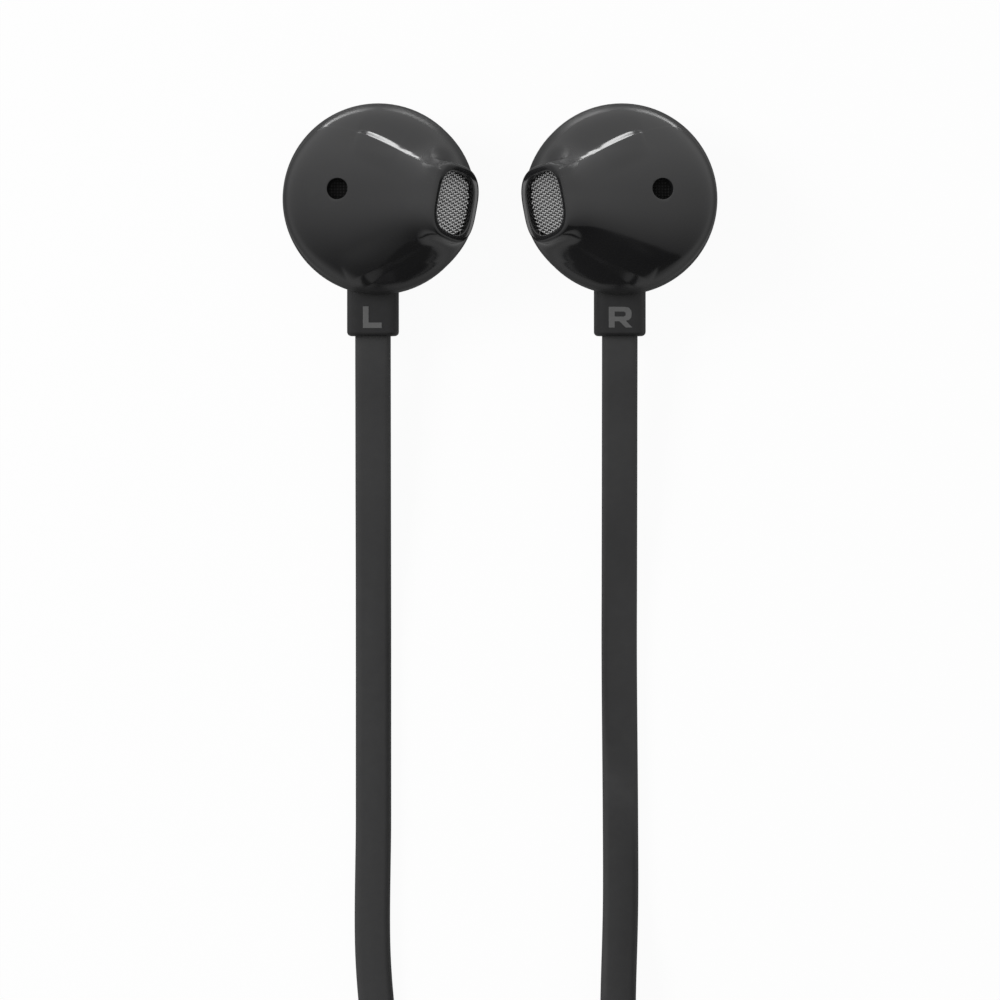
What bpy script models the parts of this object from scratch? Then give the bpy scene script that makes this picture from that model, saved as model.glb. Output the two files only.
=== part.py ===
"""Wired earphones with flat cords, lying on their backs on a surface.

Metres, +Z up. The surface is z = 0, +X runs from the left earbud to the right one, and the cords
run towards -Y. Each earbud is modelled once, in its own axes (+Z out of its face, +X towards its
nozzle), with its origin at the middle of the joint between its two shells. The right one is the
mirror of the left one.
"""

import math

import bmesh
import bpy
from mathutils import Matrix, Vector
from mathutils.bvhtree import BVHTree

# Driver capsule, and the walls and clearances round it that set the earbud's size
DRIVER_RADIUS = 0.0064
DRIVER_CLEARANCE = 0.0004
TONGUE_WALL = 0.0004
TONGUE_GAP = 0.0004
SHELL_WALL = 0.0007

# Earbud housing
HEAD_RADIUS = DRIVER_RADIUS + DRIVER_CLEARANCE + TONGUE_WALL + TONGUE_GAP + SHELL_WALL
BUD_GAP = 0.0045
DOME_HEIGHT = 0.53 * HEAD_RADIUS
BOWL_DEPTH = 0.0062
BOWL_FLAT_RADIUS = 0.0022
BOWL_SQUARENESS = 2.4
SEAM_GAP = 0.0003

# Tongue and ledge inside the rear shell
TONGUE_HEIGHT = 0.0007
LEDGE_THICKNESS = 0.0006
LEDGE_WIDTH = 0.0008

# Nozzle mouth, whose place and size follow the head, and its wall
MOUTH_X = 0.806 * HEAD_RADIUS
MOUTH_Y = -0.0614 * HEAD_RADIUS
MOUTH_HEIGHT = 0.59 * HEAD_RADIUS
MOUTH_HALF_WIDTH = 0.329 * HEAD_RADIUS
MOUTH_HALF_LENGTH = 0.3976 * HEAD_RADIUS
MOUTH_TILT = math.radians(47)
MOUTH_LEAN = math.radians(9.5)
MOUTH_WALL = 0.00062
MOUTH_TUBE = 0.0013

# Grille, screens and vent
GRILLE_RECESS = 0.00035
GRILLE_THICKNESS = 0.0003
GRILLE_HOLE_RADIUS = 0.00026
GRILLE_HOLE_PITCH = 0.00078
GRILLE_BORDER = 0.0003
SCREEN_THICKNESS = 0.00015
VENT_X = -0.0035
VENT_Y = 0.00088
VENT_RADIUS = 0.00087
VENT_SCREEN_RADIUS = 0.0014

# Driver, a moving-coil capsule
FRAME_RIM = 0.0004
FRAME_DEPTH = 0.0017
FLANGE_THICKNESS = 0.0005
RIM_HEIGHT = 0.001
STROKE = 0.0002
DIAPHRAGM_THICKNESS = 0.0001
DOME_RISE = 0.0005
COIL_RADIUS = 0.0036
COIL_WALL = 0.0002
COIL_HEIGHT = 0.0012
COIL_CLEARANCE = 0.0002
YOKE_WALL = 0.0005
TOP_PLATE_THICKNESS = 0.0004
MAGNET_THICKNESS = 0.0009
BOARD_LENGTH = 0.0042
BOARD_WIDTH = 0.0024
BOARD_THICKNESS = 0.0004
BOND_GAP = 0.0001
FIT_GAP = 0.0003

# Neck sleeve and cord
NECK_OUTSIDE = 0.00353
NECK_REACH = HEAD_RADIUS + NECK_OUTSIDE
NECK_TOP = HEAD_RADIUS - 2 * SHELL_WALL
LEFT_NECK_OFFSET = -0.0005
RIGHT_NECK_OFFSET = -0.00013
NECK_WIDTH = 0.0045
NECK_DEPTH = 0.003
NECK_DROP = 0.0026
NECK_CORNER = 0.0011
NECK_END_ROUNDING = 0.00035
CORD_WIDTH = 0.0031
CORD_THICKNESS = 0.0012
CORD_FIT = 0.00015
ANCHOR_WIDTH = 0.0034
ANCHOR_LENGTH = 0.0013
ANCHOR_THICKNESS = 0.001

# In-line remote
REMOTE_X = 0.0103
REMOTE_TOP_Y = -0.0705
REMOTE_LENGTH = 0.030
REMOTE_WIDTH = 0.0066
REMOTE_HEIGHT = 0.0054
REMOTE_WALL = 0.0007
REMOTE_ROUNDING = 0.0007
BUTTON_LENGTH = 0.0085
BUTTON_WIDTH = 0.0034
BUTTON_PROUD = 0.00035
BUTTON_GAP = 0.00015
BUTTON_FLANGE = 0.0004
BUTTON_TRAVEL = 0.0003
REMOTE_BOARD_THICKNESS = 0.0006
SWITCH_SIZE = 0.003
SWITCH_HEIGHT = 0.0009
MICROPHONE_LENGTH = 0.0024
MICROPHONE_HEIGHT = 0.0009
MICROPHONE_OFFSET = 0.0095
MICROPHONE_HOLE_RADIUS = 0.0004

# Hank of the cord's unseen length, tie and splitter
HANK_TOP_Y = -0.1105
HANK_RUN = 0.052
HANK_HALF_WIDTH = 0.0183
HANK_PAIR_DEPTH = 0.0026
MAIN_HALF_WIDTH = 0.0134
MAIN_SHIFT = -0.0016
MAIN_DEPTH = 0.0070
HANK_HEIGHT = 0.0031
TIE_THICKNESS = 0.0006
TIE_WIDTH = 0.004
TIE_DROP = 0.024
SPLITTER_LENGTH = 0.014
SPLITTER_WIDTH = 0.0034
SPLITTER_HEIGHT = 0.0042
SPLITTER_X = 0.0138
SPLITTER_DROP = 0.028

# Plug
PLUG_LENGTH = 0.014
PLUG_RADIUS = 0.0033
PLUG_PIN_RADIUS = 0.00175
PLUG_RELIEF_LENGTH = 0.007
PLUG_DROP = 0.038
PLUG_SLEEVE_LENGTH = 0.0052
PLUG_RING_LENGTH = 0.0018
PLUG_TIP_LENGTH = 0.0038
PLUG_BAND = 0.0004
PLUG_CORE_RADIUS = 0.0008

# Smoothness
AROUND = 32
SMALL_AROUND = 20
PROFILE_STEPS = 7
CORNER_STEPS = 4
CORD_STEP = 0.0075

BUD_Y = NECK_OUTSIDE / 2
BUD_X = HEAD_RADIUS + BUD_GAP / 2
HANK_BOTTOM = TIE_THICKNESS + FIT_GAP
HANK_MIDDLE = HANK_BOTTOM + HANK_HEIGHT / 2
HANK_UPPER_Y = HANK_TOP_Y - HANK_HALF_WIDTH
HANK_LOWER_Y = HANK_UPPER_Y - HANK_RUN

# The snout's sections, each in a plane through the line where the mouth's plane meets the joint
# plane: angle in degrees, nearest and furthest distance from that line, half width, sideways offset
# and squareness. Distances and widths are shares of the head's radius.
SNOUT_SECTIONS = (
    (1.5, 0.410, 2.300, 0.880, 0.000, 2.00),
    (7.5, 0.372, 2.292, 0.868, -0.018, 2.10),
    (12.8, 0.360, 2.165, 0.820, -0.048, 2.20),
    (16.5, 0.352, 1.985, 0.735, -0.075, 2.30),
    (20.5, 0.350, 1.755, 0.640, -0.090, 2.40),
    (26.0, 0.368, 1.500, 0.545, -0.090, 2.50),
    (34.0, 0.405, 1.287, 0.460, -0.075, 2.60),
)
MOUTH_SQUARENESS = 2.8

# Twist that stands the flat cord on its edge
EDGE_ON = math.pi / 2


# ---------------------------------------------------------------- scene helpers

def clear_scene():
    for found in list(bpy.data.objects):
        bpy.data.objects.remove(found)


def new_collection(name):
    made = bpy.data.collections.new(name)
    bpy.context.scene.collection.children.link(made)
    return made


clear_scene()
PARTS = new_collection("wired_earphones")
CUTTERS = new_collection("cutters")


def material(name, colour, roughness, metallic=0.0):
    made = bpy.data.materials.new(name)
    made.use_nodes = True
    shader = made.node_tree.nodes["Principled BSDF"]
    shader.inputs["Base Color"].default_value = (*colour, 1)
    shader.inputs["Roughness"].default_value = roughness
    shader.inputs["Metallic"].default_value = metallic
    return made


GLOSS_BLACK = material("gloss_black_plastic", (0.035, 0.035, 0.036), 0.25)
SATIN_BLACK = material("satin_black_rubber", (0.03, 0.03, 0.031), 0.5)
CORD_BLACK = material("matt_black_cord", (0.045, 0.045, 0.046), 0.6)
STEEL = material("stainless_steel", (0.5, 0.5, 0.5), 0.35, 1.0)
CLOTH = material("acoustic_cloth", (0.02, 0.02, 0.02), 0.9)
WHITE_PLASTIC = material("driver_frame_plastic", (0.6, 0.6, 0.58), 0.5)
NICKEL = material("nickel_plated_iron", (0.55, 0.54, 0.5), 0.3, 1.0)
MAGNET = material("magnet_alloy", (0.35, 0.35, 0.36), 0.35, 1.0)
COPPER = material("copper_winding", (0.7, 0.3, 0.15), 0.4, 1.0)
FILM = material("clear_film", (0.7, 0.65, 0.5), 0.2)
BOARD_GREEN = material("circuit_board", (0.02, 0.12, 0.05), 0.5)
GOLD = material("gold_plating", (0.83, 0.6, 0.25), 0.22, 1.0)


def add_object(name, mesh, finish, parent=None, collection=PARTS):
    made = bpy.data.objects.new(name, mesh)
    collection.objects.link(made)
    made.parent = parent
    if finish:
        mesh.materials.clear()
        mesh.materials.append(finish)
    return made


def add_empty(name, place):
    made = bpy.data.objects.new(name, None)
    made.location = place
    made.empty_display_size = 0.003
    PARTS.objects.link(made)
    return made


def baked_mesh(piece):
    """The piece's evaluated mesh, in its own axes, with loose caps welded."""
    graph = bpy.context.evaluated_depsgraph_get()
    mesh = bpy.data.meshes.new_from_object(piece.evaluated_get(graph))
    shape = bmesh.new()
    shape.from_mesh(mesh)
    bmesh.ops.remove_doubles(shape, verts=shape.verts, dist=1e-7)
    bmesh.ops.recalc_face_normals(shape, faces=shape.faces)
    shape.to_mesh(mesh)
    shape.free()
    return mesh


def bake(piece):
    """Replaces a curve, or a mesh with modifiers, by its evaluated mesh."""
    mesh = baked_mesh(piece)
    made = bpy.data.objects.new("baked", mesh)
    for collection in piece.users_collection:
        collection.objects.link(made)
    made.parent = piece.parent
    made.matrix_basis = piece.matrix_basis
    name = piece.name
    bpy.data.objects.remove(piece)
    made.name = name
    return made


def smooth(piece, angle=35):
    piece.data.shade_smooth()
    piece.data.set_sharp_from_angle(angle=math.radians(angle))
    return piece


def boolean(piece, other, operation="DIFFERENCE"):
    """Cuts or joins, and leaves the cutter as a hidden helper."""
    if CUTTERS not in other.users_collection:
        for collection in other.users_collection:
            collection.objects.unlink(other)
        CUTTERS.objects.link(other)
    other.hide_render = True
    other.display_type = "WIRE"
    modifier = piece.modifiers.new(operation.lower(), "BOOLEAN")
    modifier.operation = operation
    modifier.object = other
    return piece


def bevel(piece, width, segments=2, angle=40):
    modifier = piece.modifiers.new("rounding", "BEVEL")
    modifier.width = width
    modifier.segments = segments
    modifier.limit_method = "ANGLE"
    modifier.angle_limit = math.radians(angle)
    modifier.use_clamp_overlap = True
    return piece


# ---------------------------------------------------------------- shape helpers

def turned(name, profile, finish, parent, steps=AROUND, closed=False):
    """A solid turned about Z. The profile's (radius, height) points run down its outer side."""
    mesh = bpy.data.meshes.new(name)
    points = [(radius, 0, height) for radius, height in profile]
    edges = [(index, index + 1) for index in range(len(points) - 1)]
    if closed:
        edges.append((len(points) - 1, 0))
    mesh.from_pydata(points, edges, [])
    piece = add_object(name, mesh, finish, parent)
    screw = piece.modifiers.new("turn", "SCREW")
    screw.steps = steps
    screw.render_steps = steps
    screw.use_merge_vertices = True
    screw.merge_threshold = 1e-6
    screw.use_normal_calculate = False
    return smooth(bake(piece))


def ring_profile(inner, outer, bottom, top):
    return [(outer, top), (outer, bottom), (inner, bottom), (inner, top)]


def disc_profile(radius, bottom, top):
    return [(0, top), (radius, top), (radius, bottom), (0, bottom)]


def rounded_rectangle(half_x, half_y, radius, steps=CORNER_STEPS):
    """Outline of a rectangle with round corners, counter-clockwise."""
    radius = min(radius, half_x, half_y)
    outline = []
    for corner, (side_x, side_y) in enumerate(((1, 1), (-1, 1), (-1, -1), (1, -1))):
        for step in range(steps + 1):
            turn = math.pi / 2 * (corner + step / steps)
            outline.append((
                side_x * (half_x - radius) + radius * math.cos(turn),
                side_y * (half_y - radius) + radius * math.sin(turn),
            ))
    return outline


def racetrack(half_width, run, centre_x, centre_y, steps=14):
    """Outline with round ends: two straight runs along Y joined by half circles."""
    outline = []
    for end, turn_start in ((1, 0), (-1, math.pi)):
        for step in range(steps + 1):
            turn = turn_start + math.pi * step / steps
            outline.append((
                centre_x + half_width * math.cos(turn),
                centre_y + end * run / 2 + half_width * math.sin(turn),
            ))
    return outline


def plate(name, outlines, bottom, top, finish, parent=None):
    """A flat plate between two heights: the first outline is its edge and the others are holes."""
    curve = bpy.data.curves.new(name, "CURVE")
    curve.dimensions = "2D"
    curve.fill_mode = "BOTH"
    curve.extrude = (top - bottom) / 2
    for outline in outlines:
        spline = curve.splines.new("POLY")
        spline.points.add(len(outline) - 1)
        for point, (across, along) in zip(spline.points, outline):
            point.co = (across, along, 0, 1)
        spline.use_cyclic_u = True
    piece = bpy.data.objects.new(name, curve)
    piece.location.z = (bottom + top) / 2
    PARTS.objects.link(piece)
    piece.parent = parent
    piece = bake(piece)
    piece.data.transform(Matrix.Translation((0, 0, piece.location.z)))
    piece.location.z = 0
    piece.data.materials.clear()
    piece.data.materials.append(finish)
    return piece


def lofted(name, rings, finish, parent=None, angle=35):
    """A closed solid through rings of equally many points, in order."""
    shape = bmesh.new()
    rows = [[shape.verts.new(point) for point in ring] for ring in rings]
    for row, following in zip(rows, rows[1:]):
        for index in range(len(row)):
            after = (index + 1) % len(row)
            shape.faces.new((row[index], row[after], following[after], following[index]))
    shape.faces.new(rows[0])
    shape.faces.new(rows[-1])
    bmesh.ops.recalc_face_normals(shape, faces=shape.faces)
    mesh = bpy.data.meshes.new(name)
    shape.to_mesh(mesh)
    shape.free()
    piece = add_object(name, mesh, finish, parent)
    return smooth(piece, angle)


def flat_ring(half_x, half_z, radius, along, middle=(0, 0)):
    """A rounded rectangle that faces along Y, for lofts along a neck, a splitter or a relief."""
    outline = rounded_rectangle(half_x, half_z, radius)
    return [Vector((middle[0] + across, along, middle[1] + up)) for across, up in outline]


def cord_points(route, step=CORD_STEP):
    """Points at even steps along a smooth curve through the route's own points."""
    ends = [route[0], *route, route[-1]]
    fine = []
    for before, start, end, after in zip(ends, ends[1:], ends[2:], ends[3:]):
        before, start, end, after = (Vector(point) for point in (before, start, end, after))
        for share in (index / 12 for index in range(12)):
            fine.append(0.5 * (
                2 * start + (end - before) * share
                + (2 * before - 5 * start + 4 * end - after) * share ** 2
                + (3 * start - before - 3 * end + after) * share ** 3
            ))
    fine.append(Vector(route[-1]))
    lengths = [0.0]
    for start, end in zip(fine, fine[1:]):
        lengths.append(lengths[-1] + (end.xyz - start.xyz).length)
    count = max(2, round(lengths[-1] / step))
    points = []
    for index in range(count + 1):
        wanted = lengths[-1] * index / count
        place = max(1, next(n for n, length in enumerate(lengths) if length >= wanted - 1e-9))
        span = lengths[place] - lengths[place - 1]
        share = (wanted - lengths[place - 1]) / span
        points.append(fine[place - 1].lerp(fine[place], share))
    return points


def flat_cord(name, route):
    """A plain flat tube along a route of (x, y, z, twist); a quarter turn stands it on edge."""
    curve = bpy.data.curves.new(name, "CURVE")
    curve.dimensions = "3D"
    curve.fill_mode = "FULL"
    curve.twist_mode = "Z_UP"
    curve.use_fill_caps = True
    curve.bevel_depth = CORD_THICKNESS / 2
    curve.bevel_resolution = 1
    curve.extrude = (CORD_WIDTH - CORD_THICKNESS) / 2
    points = cord_points(route)
    spline = curve.splines.new("POLY")
    spline.points.add(len(points) - 1)
    for point, place in zip(spline.points, points):
        point.co = (*place.xyz, 1)
        point.tilt = EDGE_ON - place.w
    return add_object(name, curve, CORD_BLACK)


# ---------------------------------------------------------------- earbud shapes

MOUTH_AXIS = Vector((math.sin(MOUTH_TILT), 0, math.cos(MOUTH_TILT)))
MOUTH_ACROSS = Vector((math.cos(MOUTH_TILT), 0, -math.sin(MOUTH_TILT)))
MOUTH_CENTRE = Vector((MOUTH_X, MOUTH_Y, MOUTH_HEIGHT))
HINGE_X = MOUTH_X + MOUTH_HEIGHT / math.tan(MOUTH_TILT)


def superellipse(turn, half_a, half_b, squareness):
    along, across = math.cos(turn), math.sin(turn)
    return (
        half_a * math.copysign(abs(along) ** (2 / squareness), along),
        half_b * math.copysign(abs(across) ** (2 / squareness), across),
    )


def section_ring(angle, near, far, half_width, offset, squareness, count=AROUND):
    """One closed section of the snout, in a plane through the hinge line at HINGE_X."""
    along = Vector((-math.cos(angle), 0, math.sin(angle)))
    middle = Vector((HINGE_X, offset, 0)) + along * (near + far) / 2
    ring = []
    for index in range(count):
        turn = math.tau * index / count
        a, b = superellipse(turn, (far - near) / 2, half_width, squareness)
        ring.append(middle + along * -a + Vector((0, b, 0)))
    return ring


def mouth_ring(depth, inset, count=AROUND):
    """The mouth's outline, moved back along the nozzle's axis and drawn in by the inset."""
    ring = []
    cos_lean, sin_lean = math.cos(MOUTH_LEAN), math.sin(MOUTH_LEAN)
    for a, b in mouth_outline(inset, count):
        across = a * cos_lean + b * sin_lean
        along = b * cos_lean - a * sin_lean
        ring.append(
            MOUTH_CENTRE - MOUTH_AXIS * depth + MOUTH_ACROSS * across + Vector((0, along, 0))
        )
    return ring


def snout_rings():
    rings = []
    for angle, near, far, half_width, offset, squareness in SNOUT_SECTIONS:
        rings.append(section_ring(
            math.radians(angle), near * HEAD_RADIUS, far * HEAD_RADIUS,
            half_width * HEAD_RADIUS, offset * HEAD_RADIUS, squareness,
        ))
    rings.append(mouth_ring(0, 0))
    return rings


def inner_rings(rings, wall):
    """The rings moved in along the surface's normals, then the straight tube behind the mouth."""
    moved = []
    for place in range(len(rings) - 1):
        before, ring, after = rings[max(0, place - 1)], rings[place], rings[place + 1]
        inner = []
        for index, point in enumerate(ring):
            around = ring[(index + 1) % len(ring)] - ring[index - 1]
            normal = around.cross(after[index] - before[index]).normalized()
            inner.append(point - normal * wall)
        moved.append(inner)
    moved.append(mouth_ring(MOUTH_TUBE, MOUTH_WALL))
    moved.append(mouth_ring(-MOUTH_TUBE, MOUTH_WALL))
    return moved


def dome_profile(radius, height, base, steps=PROFILE_STEPS):
    profile = []
    for step in range(steps + 1):
        turn = math.pi / 2 * (1 - step / steps)
        profile.append((radius * math.cos(turn), height * math.sin(turn)))
    profile[0] = (0, height)
    profile[-1] = (radius, base)
    profile.append((0, base))
    return profile


def bowl_radius(height, depth, radius):
    """The rear shell's radius at a height below the joint, for its outer or its inner surface."""
    share = min(1, abs(height) / depth)
    rise = (1 - share ** BOWL_SQUARENESS) ** (1 / BOWL_SQUARENESS)
    return BOWL_FLAT_RADIUS + (radius - BOWL_FLAT_RADIUS) * rise


def bowl_side(depth, radius, top, steps=PROFILE_STEPS):
    """Points from the joint down to the flat of the bowl."""
    points = [(bowl_radius(top, depth, radius), top)]
    for step in range(1, steps):
        height = -depth * math.sin(math.pi / 2 * step / steps)
        if height < top:
            points.append((bowl_radius(height, depth, radius), height))
    points.append((BOWL_FLAT_RADIUS, -depth))
    return points


TONGUE_OUTER = HEAD_RADIUS - SHELL_WALL - TONGUE_GAP
TONGUE_INNER = TONGUE_OUTER - TONGUE_WALL
LEDGE_TOP = -(RIM_HEIGHT + FLANGE_THICKNESS + FIT_GAP - TONGUE_HEIGHT)
FLANGE_BOTTOM = LEDGE_TOP + FIT_GAP
FRAME_FLOOR = FLANGE_BOTTOM + FLANGE_THICKNESS
FRAME_BOTTOM = FRAME_FLOOR - FRAME_DEPTH
DIAPHRAGM_HEIGHT = FRAME_FLOOR + STROKE + BOND_GAP + FIT_GAP / 2
COIL_TOP = DIAPHRAGM_HEIGHT - BOND_GAP / 2
TOP_PLATE_RADIUS = COIL_RADIUS - COIL_WALL / 2 - COIL_CLEARANCE
YOKE_INNER = COIL_RADIUS + COIL_WALL / 2 + COIL_CLEARANCE
YOKE_OUTER = YOKE_INNER + YOKE_WALL
YOKE_TOP = COIL_TOP - STROKE - BOND_GAP
YOKE_FLOOR = YOKE_TOP - TOP_PLATE_THICKNESS - MAGNET_THICKNESS - 2 * BOND_GAP
YOKE_BOTTOM = YOKE_FLOOR - YOKE_WALL
LEDGE_INNER = TONGUE_INNER - LEDGE_WIDTH


def make_rear_shell(side, parent, neck_x):
    inner_radius = HEAD_RADIUS - SHELL_WALL
    inner_depth = BOWL_DEPTH - SHELL_WALL
    ledge_bottom = LEDGE_TOP - LEDGE_THICKNESS
    inside = bowl_side(inner_depth, inner_radius, ledge_bottom)
    profile = [(0, -inner_depth), *reversed(inside)]
    profile += [(LEDGE_INNER, ledge_bottom), (LEDGE_INNER, LEDGE_TOP), (TONGUE_INNER, LEDGE_TOP)]
    profile += [(TONGUE_INNER, TONGUE_HEIGHT), (TONGUE_OUTER, TONGUE_HEIGHT)]
    profile += [(TONGUE_OUTER, -SEAM_GAP)]
    profile += bowl_side(BOWL_DEPTH, HEAD_RADIUS, -SEAM_GAP)
    profile += [(0, -BOWL_DEPTH)]
    shell = turned(side + "_rear_shell", profile, GLOSS_BLACK, parent)
    pocket = lofted(side + "_neck_pocket", [
        flat_ring(NECK_WIDTH / 2 + FIT_GAP, NECK_DEPTH / 2 + FIT_GAP, NECK_CORNER + FIT_GAP,
                  along, (neck_x, -NECK_DROP))
        for along in (-NECK_REACH, -NECK_TOP + FIT_GAP)
    ], None, parent)
    return smooth(bake(boolean(shell, pocket)))


def make_front_shell(parent):
    rings = snout_rings()
    dome = turned("left_front_shell", dome_profile(HEAD_RADIUS, DOME_HEIGHT, 0), GLOSS_BLACK, parent)
    snout = lofted("left_snout", rings, GLOSS_BLACK, parent)
    dome = bake(boolean(dome, snout, "UNION"))
    inner_radius = HEAD_RADIUS - SHELL_WALL
    hollow = dome_profile(inner_radius, DOME_HEIGHT - SHELL_WALL, -SHELL_WALL)
    dome_hollow = turned("left_dome_hollow", hollow, None, parent)
    snout_hollow = lofted("left_snout_hollow", inner_rings(rings, SHELL_WALL), None, parent)
    vent = cylinder("left_vent_cut", VENT_RADIUS, DOME_HEIGHT / 2, BOWL_DEPTH * 1.5, None, parent)
    vent.data.transform(Matrix.Translation((VENT_X, VENT_Y, 0)))
    for cutter in (dome_hollow, snout_hollow, vent):
        boolean(dome, cutter)
    return smooth(bake(dome))


def cylinder(name, radius, bottom, top, finish, parent, steps=SMALL_AROUND):
    return turned(name, disc_profile(radius, bottom, top), finish, parent, steps)


def mouth_plate(name, outlines, depth, thickness, finish, parent):
    """A plate across the nozzle, with its upper face at a depth behind the mouth."""
    piece = plate(name, outlines, -thickness, 0, finish, parent)
    turn = Matrix.Rotation(MOUTH_TILT, 4, "Y") @ Matrix.Rotation(-MOUTH_LEAN, 4, "Z")
    place = Matrix.Translation(MOUTH_CENTRE - MOUTH_AXIS * depth)
    piece.data.transform(place @ turn)
    return piece


def mouth_outline(inset, count=AROUND):
    half_a, half_b = MOUTH_HALF_WIDTH - inset, MOUTH_HALF_LENGTH - inset
    turns = (math.tau * index / count for index in range(count))
    return [superellipse(turn, half_a, half_b, MOUTH_SQUARENESS) for turn in turns]


def grille_holes():
    """Six-sided holes in staggered rows that stay clear of the grille's border."""
    reach = MOUTH_WALL + BOND_GAP + GRILLE_BORDER + GRILLE_HOLE_RADIUS
    half_a, half_b = MOUTH_HALF_WIDTH - reach, MOUTH_HALF_LENGTH - reach
    row_step = GRILLE_HOLE_PITCH * math.sqrt(3) / 2
    rows = int(half_b / row_step)
    columns = int(half_a / GRILLE_HOLE_PITCH) + 1
    holes = []
    for row in range(-rows, rows + 1):
        for column in range(-columns, columns + 1):
            x = (column + (row % 2) / 2) * GRILLE_HOLE_PITCH
            y = row * row_step
            if (abs(x) / half_a) ** MOUTH_SQUARENESS + (abs(y) / half_b) ** MOUTH_SQUARENESS > 1:
                continue
            turns = (math.tau * (corner + 0.5) / 6 for corner in range(6))
            holes.append([
                (x + GRILLE_HOLE_RADIUS * math.cos(turn), y + GRILLE_HOLE_RADIUS * math.sin(turn))
                for turn in turns
            ])
    return holes


def make_grille(parent):
    edge = mouth_outline(MOUTH_WALL + BOND_GAP)
    mouth_plate(
        "left_nozzle_grille", [edge, *grille_holes()], GRILLE_RECESS, GRILLE_THICKNESS, STEEL, parent
    )
    depth = GRILLE_RECESS + GRILLE_THICKNESS + BOND_GAP
    mouth_plate("left_nozzle_screen", [edge], depth, SCREEN_THICKNESS, CLOTH, parent)


def make_vent_screen(parent, shell):
    """A cloth disc bonded inside the face, just under the wall at the vent."""
    tree = BVHTree.FromObject(shell, bpy.context.evaluated_depsgraph_get())
    height = min(
        tree.ray_cast(Vector((VENT_X + x, VENT_Y + y, 0)), Vector((0, 0, 1)))[0].z
        for x, y in ((VENT_SCREEN_RADIUS, 0), (-VENT_SCREEN_RADIUS, 0),
                     (0, VENT_SCREEN_RADIUS), (0, -VENT_SCREEN_RADIUS))
    )
    top = height - BOND_GAP
    screen = cylinder(
        "left_vent_screen", VENT_SCREEN_RADIUS, top - SCREEN_THICKNESS, top, CLOTH, parent
    )
    screen.data.transform(Matrix.Translation((VENT_X, VENT_Y, 0)))


def make_driver(parent):
    rim_inner = DRIVER_RADIUS - FRAME_RIM
    body = LEDGE_INNER - FIT_GAP
    bore = YOKE_OUTER + BOND_GAP
    rim_top = FRAME_FLOOR + RIM_HEIGHT
    frame = [
        (DRIVER_RADIUS, rim_top), (DRIVER_RADIUS, FLANGE_BOTTOM), (body, FLANGE_BOTTOM),
        (body, FRAME_BOTTOM), (bore, FRAME_BOTTOM), (bore, FRAME_FLOOR),
        (rim_inner, FRAME_FLOOR), (rim_inner, rim_top),
    ]
    turned("left_driver_frame", frame, WHITE_PLASTIC, parent, SMALL_AROUND, closed=True)
    yoke = [
        (0, YOKE_FLOOR), (YOKE_INNER, YOKE_FLOOR), (YOKE_INNER, YOKE_TOP), (YOKE_OUTER, YOKE_TOP),
        (YOKE_OUTER, YOKE_BOTTOM), (0, YOKE_BOTTOM),
    ]
    turned("left_driver_yoke", yoke, NICKEL, parent, SMALL_AROUND)
    magnet_bottom = YOKE_FLOOR + BOND_GAP
    magnet_top = magnet_bottom + MAGNET_THICKNESS
    magnet = disc_profile(TOP_PLATE_RADIUS - BOND_GAP, magnet_bottom, magnet_top)
    turned("left_driver_magnet", magnet, MAGNET, parent, SMALL_AROUND)
    washer = disc_profile(TOP_PLATE_RADIUS, magnet_top + BOND_GAP, YOKE_TOP)
    turned("left_driver_top_plate", washer, NICKEL, parent, SMALL_AROUND)
    board = plate(
        "left_terminal_board", [rounded_rectangle(BOARD_LENGTH / 2, BOARD_WIDTH / 2, BOARD_WIDTH / 5)],
        YOKE_BOTTOM - BOND_GAP - BOARD_THICKNESS, YOKE_BOTTOM - BOND_GAP, BOARD_GREEN, parent,
    )
    return board


def make_moving_driver(parent):
    coil = ring_profile(
        COIL_RADIUS - COIL_WALL / 2, COIL_RADIUS + COIL_WALL / 2, COIL_TOP - COIL_HEIGHT, COIL_TOP
    )
    turned("left_voice_coil", coil, COPPER, parent, SMALL_AROUND, closed=True)
    outer = DRIVER_RADIUS - FRAME_RIM - FIT_GAP
    hinge = COIL_RADIUS + COIL_WALL
    roll = (outer - hinge) / 2
    rises = [(0, DOME_RISE), (hinge / 2, DOME_RISE * 0.8), (hinge * 0.85, DOME_RISE * 0.3)]
    rises += [(hinge, 0), (hinge + roll, DOME_RISE * 0.55), (outer, 0)]
    base = DIAPHRAGM_HEIGHT
    top = [(radius, base + rise + DIAPHRAGM_THICKNESS) for radius, rise in rises]
    bottom = [(radius, base + rise) for radius, rise in reversed(rises)]
    turned("left_diaphragm", top + bottom, FILM, parent, SMALL_AROUND)


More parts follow.
